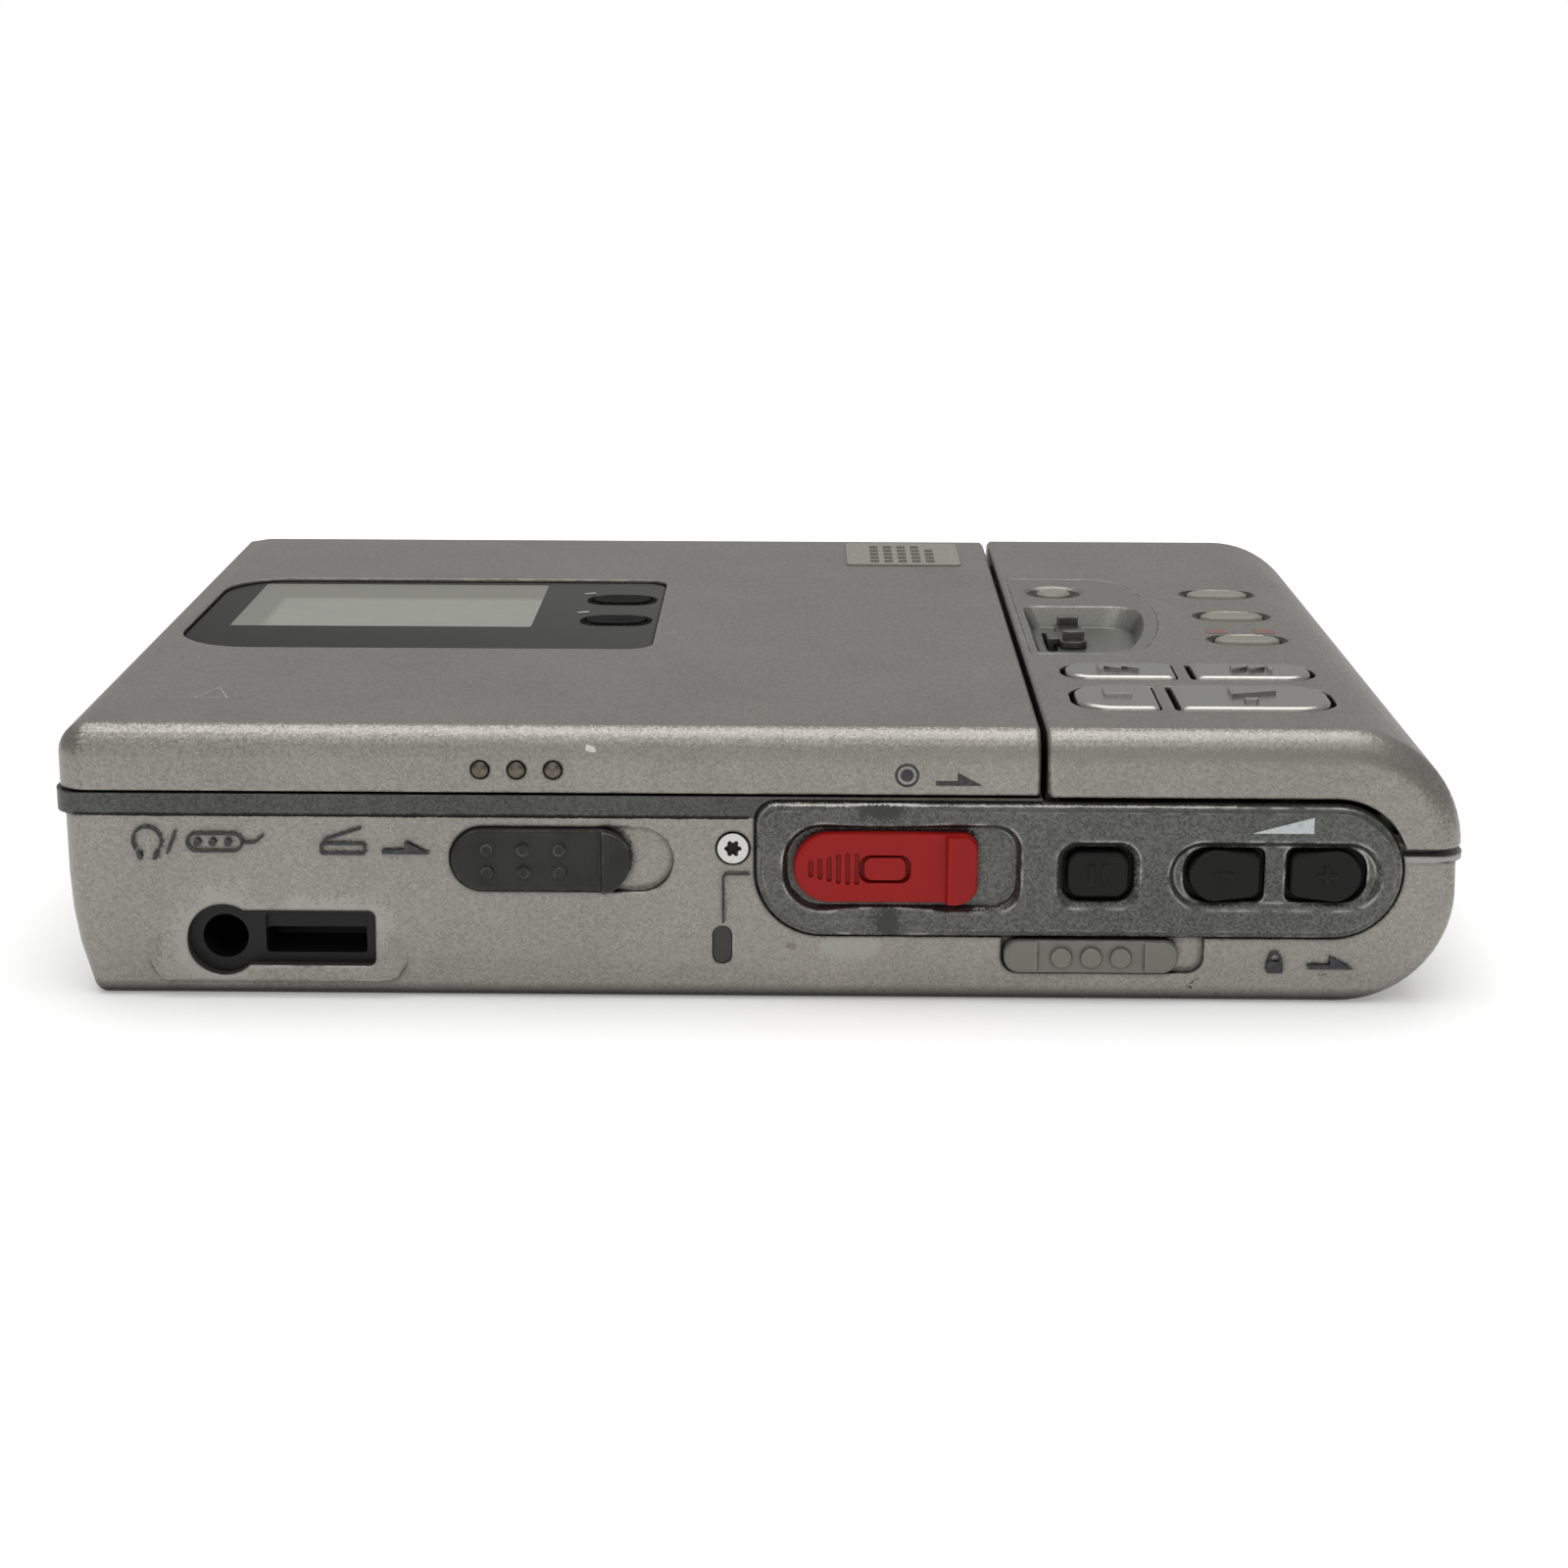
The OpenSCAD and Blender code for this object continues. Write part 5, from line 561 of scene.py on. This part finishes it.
def place_camera():
    pitch, yaw, roll = (math.radians(a) for a in (CAMERA_PITCH, CAMERA_YAW, CAMERA_ROLL))
    ahead = Vector((math.sin(yaw) * math.cos(pitch), math.cos(yaw) * math.cos(pitch), -math.sin(pitch)))
    level_right = Vector((math.cos(yaw), -math.sin(yaw), 0))
    level_down = ahead.cross(level_right)
    right = math.cos(roll) * level_right + math.sin(roll) * level_down
    up = math.sin(roll) * level_right - math.cos(roll) * level_down
    lens = bpy.data.cameras.new("photograph")
    lens.lens = CAMERA_LENS
    lens.sensor_width = SENSOR_WIDTH
    lens.clip_start = 0.01
    camera = bpy.data.objects.new("photograph", lens)
    bpy.context.scene.collection.objects.link(camera)
    turn = Matrix((right, up, -ahead)).transposed().to_4x4()
    camera.matrix_world = Matrix.Translation(Vector(CAMERA_PLACE) * MM) @ turn
    bpy.context.scene.camera = camera


def start_tree(name, **sizes):
    """A new Geometry Nodes tree that takes a sketch, these sizes and a finish."""
    tree = bpy.data.node_groups.new(name, "GeometryNodeTree")
    tree.interface.new_socket("Sketch", in_out="INPUT", socket_type="NodeSocketGeometry")
    for label, value in sizes.items():
        socket = tree.interface.new_socket(label, in_out="INPUT", socket_type="NodeSocketFloat")
        socket.default_value = value
    tree.interface.new_socket("Finish", in_out="INPUT", socket_type="NodeSocketMaterial")
    tree.interface.new_socket("Geometry", in_out="OUTPUT", socket_type="NodeSocketGeometry")
    return tree, add(tree, "NodeGroupInput").outputs


def end_tree(tree, shape, finish):
    real = add(tree, "GeometryNodeRealizeInstances", {"Geometry": shape})
    inked = add(tree, "GeometryNodeSetMaterial", {"Geometry": real.outputs[0], "Material": finish})
    add(tree, "NodeGroupOutput", {"Geometry": inked.outputs[0]})


def printed_line_tree():
    """Runs a flat band of ink along the lines of a sketch."""
    tree, given = start_tree("printed_line", Width=STROKE_WIDTH * MM, Thickness=INK_THICKNESS * MM)
    path = add(tree, "GeometryNodeMeshToCurve", {"Mesh": given["Sketch"]})
    level = add(tree, "GeometryNodeSetCurveNormal", {"Curve": path.outputs[0]}, mode="Z_UP")
    section = add(tree, "GeometryNodeCurvePrimitiveQuadrilateral", {"Width": given["Width"],
                                                                    "Height": given["Thickness"]})
    band = add(tree, "GeometryNodeCurveToMesh", {"Curve": level.outputs[0], "Fill Caps": True,
                                                 "Profile Curve": section.outputs[0]})
    end_tree(tree, band.outputs[0], given["Finish"])
    return tree


def printed_patch_tree():
    """Fills the outlines of a sketch with a thin layer. An outline inside another is a hole."""
    tree, given = start_tree("printed_patch", Thickness=INK_THICKNESS * MM)
    outline = add(tree, "GeometryNodeMeshToCurve", {"Mesh": given["Sketch"]})
    face = add(tree, "GeometryNodeFillCurve", {"Curve": outline.outputs[0]})
    raised = add(tree, "GeometryNodeExtrudeMesh", {"Mesh": face.outputs[0], "Individual": False,
                                                   "Offset Scale": given["Thickness"]})
    under = add(tree, "GeometryNodeFlipFaces", {"Mesh": face.outputs[0]})
    both = add(tree, "GeometryNodeJoinGeometry", {"Geometry": raised.outputs[0]})
    link(tree, under.outputs[0], both.inputs[0])
    closed = add(tree, "GeometryNodeMergeByDistance", {"Geometry": both.outputs[0],
                                                        "Distance": WELD_GAP * MM})
    end_tree(tree, closed.outputs[0], given["Finish"])
    return tree


LINE = printed_line_tree()
PATCH = printed_patch_tree()


def front_face(y):
    """Turns a sketch of x and height onto a front face at this y."""
    return Matrix(((1, 0, 0, 0), (0, 0, -1, y), (0, 1, 0, 0), (0, 0, 0, 1)))


def top_face(z):
    return Matrix.Translation((0, 0, z))


def draw(name, body, face, tree, finish, lines, **sizes):
    """Inks lines, drawn in millimetres, on a face of a body. A line that ends where it starts is closed."""
    points, edges = [], []
    for line in lines:
        closed = line[0] == line[-1]
        first = len(points)
        points += [(u * MM, v * MM, 0) for u, v in (line[:-1] if closed else line)]
        edges += [(i, i + 1) for i in range(first, len(points) - 1)]
        if closed:
            edges.append((len(points) - 1, first))
    sketch = bpy.data.meshes.new(name)
    sketch.from_pydata(points, edges, [])
    piece = bpy.data.objects.new(name, sketch)
    bpy.context.scene.collection.objects.link(piece)
    modifier = piece.modifiers.new(tree.name, "NODES")
    modifier.node_group = tree
    values = {"Finish": finish} | {label: size * MM for label, size in sizes.items()}
    for socket in tree.interface.items_tree:
        if socket.in_out == "INPUT" and socket.name in values:
            modifier[socket.identifier] = values[socket.name]
    made = piece.evaluated_get(bpy.context.evaluated_depsgraph_get())
    mesh = bpy.data.meshes.new_from_object(made)
    piece.modifiers.clear()
    mesh.transform(face)
    shell = bmesh.new()
    shell.from_mesh(mesh)
    bmesh.ops.recalc_face_normals(shell, faces=shell.faces)
    shell.to_mesh(mesh)
    shell.free()
    piece.data = mesh
    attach(piece, body)


def arc(u, v, radius, start, end, steps=16):
    """Points on a round stretch, with its angles in degrees."""
    angles = [math.radians(start + (end - start) * i / steps) for i in range(steps + 1)]
    return [(u + radius * math.cos(a), v + radius * math.sin(a)) for a in angles]


def ring(u, v, radius, steps=28):
    points = arc(u, v, radius, 0, 360, steps)
    return points[:-1] + points[:1]


def rounded(u0, v0, u1, v1, radii):
    """A box with round corners, from the near left corner round to the far left one."""
    near_left, near_right, far_right, far_left = radii
    points = arc(u0 + near_left, v0 + near_left, near_left, 180, 270, 8)
    points += arc(u1 - near_right, v0 + near_right, near_right, 270, 360, 8)
    points += arc(u1 - far_right, v1 - far_right, far_right, 0, 90, 8)
    points += arc(u0 + far_left, v1 - far_left, far_left, 90, 180, 8)
    return points + points[:1]


def half_arrow(u, v, length):
    """Arrow with one barb, pointing right from its tail."""
    bar, barb, neck = 0.36, 1.05, 0.47
    return [(u, v), (u + length, v), (u + length * neck, v + barb), (u + length * neck, v + bar),
            (u, v + bar), (u, v)]


def print_front_marks():
    case_front = front_face(front_y)
    panel_front = front_face(panel_y)
    lid_front = front_face(lid_front_y)
    # Headphones, a stroke and a small remote control
    draw("headphone_mark", "case", case_front, LINE, dark_ink,
         [arc(-48.05, 12.95, 1.12, -38, 218), [(-46.5, 11.9), (-45.8, 13.8)],
          rounded(-44.9, 12.15, -40.6, 13.55, [0.7] * 4), [(-40.6, 12.85), (-39.6, 12.85), (-38.9, 13.45)]],
         Width=0.2)
    pads = [[(-48.95, 12.2), (-48.6, 12.1), (-48.42, 11.4), (-48.8, 11.45), (-48.95, 12.2)],
            [(-47.15, 12.2), (-47.5, 12.1), (-47.68, 11.4), (-47.3, 11.45), (-47.15, 12.2)]]
    draw("headphone_pads", "case", case_front, PATCH, dark_ink,
         pads + [ring(-44.1, 12.85, 0.3), ring(-42.9, 12.85, 0.3), ring(-41.7, 12.85, 0.3)])
    # Lid that opens, with the way to push its slider
    draw("open_mark", "case", case_front, LINE, dark_ink,
         [rounded(-34.4, 12.0, -31.0, 12.8, [0.15] * 4), [(-34.2, 13.1), (-31.2, 14.1)]], Width=0.2)
    draw("open_arrow", "case", case_front, PATCH, dark_ink, [half_arrow(-29.64, 12.0, 3.84)])
    # Line from the record slider to its lamp
    draw("lamp_line", "case", case_front, LINE, dark_ink,
         [[(-0.81, 10.53)] + arc(-2.5, 10.13, 0.4, 90, 180, 6) + [(-2.9, 6.53)]], Width=0.17)
    # Recording, with the way to push its slider
    draw("record_mark", "lid", lid_front, LINE, dark_ink, [ring(11.4, 18.55, 0.85)], Width=0.2)
    draw("record_arrow", "lid", lid_front, PATCH, dark_ink,
         [half_arrow(13.65, 17.75, 3.6), ring(11.4, 18.55, 0.5)])
    # Padlock for the hold slider
    draw("hold_mark", "case", case_front, LINE, dark_ink,
         [arc(40.6, 3.85, 0.42, 0, 180, 10) + [(40.18, 3.5)], [(41.02, 3.85), (41.02, 3.5)]], Width=0.2)
    draw("hold_arrow", "case", case_front, PATCH, dark_ink,
         [half_arrow(43.2, 3.0, 3.7), rounded(39.95, 2.65, 41.25, 3.6, [0.12] * 4)])
    # Wedge of rising volume
    draw("volume_mark", "case", panel_front, PATCH, white_ink,
         [[(38.3, 14.2), (43.1, 14.2), (43.1, 15.5), (38.3, 14.2)]])


def print_top_marks():
    lid_top = top_face(lid_top_z)
    deck_top = top_face(deck_top_z)
    draw("disc_way_mark", "lid", lid_top, LINE, pale_ink,
         [[(-46.0, -32.3), (-43.3, -32.3), (-44.65, -28.7), (-46.0, -32.3)]], Width=0.18)
    draw("pair_marks", "case", deck_top, PATCH, red_ink,
         [rounded(u, -5.2, u + 1.8, -3.4, [0.2] * 4) for u in (39.5, 43.7)])


def print_window_mask():
    """Print under the pane's face, open at the display and the two keys, and the face of the display."""
    low, high = window_low / MM, window_high / MM
    edge, corners = 0.15, [6.85, 2.05, 2.05, 5.85]
    key_gap, key_corner = 0.1, 2.0
    mask_depth, display_depth = 0.1, 0.15
    outline = rounded(low.x + edge, low.y + edge, high.x - edge, high.y - edge, corners)
    openings = [rounded(-48.9, -2.5, -21.5, 17.2, [0.4] * 4)]
    for key in ("display_key", "mode_key"):
        key_low, key_high = (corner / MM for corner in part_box(key))
        openings.append(rounded(key_low.x - key_gap, key_low.y - key_gap, key_high.x + key_gap,
                                key_high.y + key_gap, [key_corner] * 4))
    draw("window_mask", "lid", top_face(window_high.z - mask_depth * MM), PATCH, mask_ink,
         [outline] + openings)
    draw("display_face", "lid", top_face(window_high.z - display_depth * MM), PATCH, crystal_glass,
         [rounded(-49.2, -2.8, -21.2, 17.5, [0.2] * 4)])
    draw("key_ticks", "lid", top_face(window_high.z), LINE, white_ink,
         [[(-17.7, v), (-16.7, v + 0.5)] for v in (12.4, 3.6)], Width=0.3)


def stick_label():
    """Thin grey film with columns of plain dark bars, the last column one bar short."""
    film = 0.12
    columns, rows = (9.9, 11.3, 12.7, 14.1, 15.5), (27.6, 29.5, 31.4, 33.3, 35.2)
    bar_width, bar_length = 0.85, 1.2
    bars = [rounded(u, v, u + bar_width, v + bar_length, [0.1] * 4)
            for u in columns for v in rows if (u, v) != (columns[-1], rows[-1])]
    draw("label_film", "lid", top_face(lid_top_z), PATCH, label_film,
         [rounded(7.5, 26.4, 18.9, 38.2, [0.6] * 4)], Thickness=film)
    draw("label_bars", "lid", top_face(lid_top_z + film * MM), PATCH, label_ink, bars)


dress_parts()
print_front_marks()
print_top_marks()
print_window_mask()
stick_label()
place_camera()
make_world(room_level=0.4, mirrored_level=0.44)
make_floor(half_width=3.0, shadow_reach=(0.12, 0.3), lift=0.25, mirrored=0.27)
add_softbox("overhead", place=(0, 85, 480), target=(0, 20, 10), size=(520, 430), level=2.2)
add_softbox("upper_front", place=(0, -260, 420), target=(0, -20, 10), size=(600, 260), level=0.8)
add_softbox("front_fill", place=(-100, -700, 250), target=(0, 0, 10), size=(600, 400), level=0.65)
bpy.context.scene.view_settings.view_transform = "Standard"
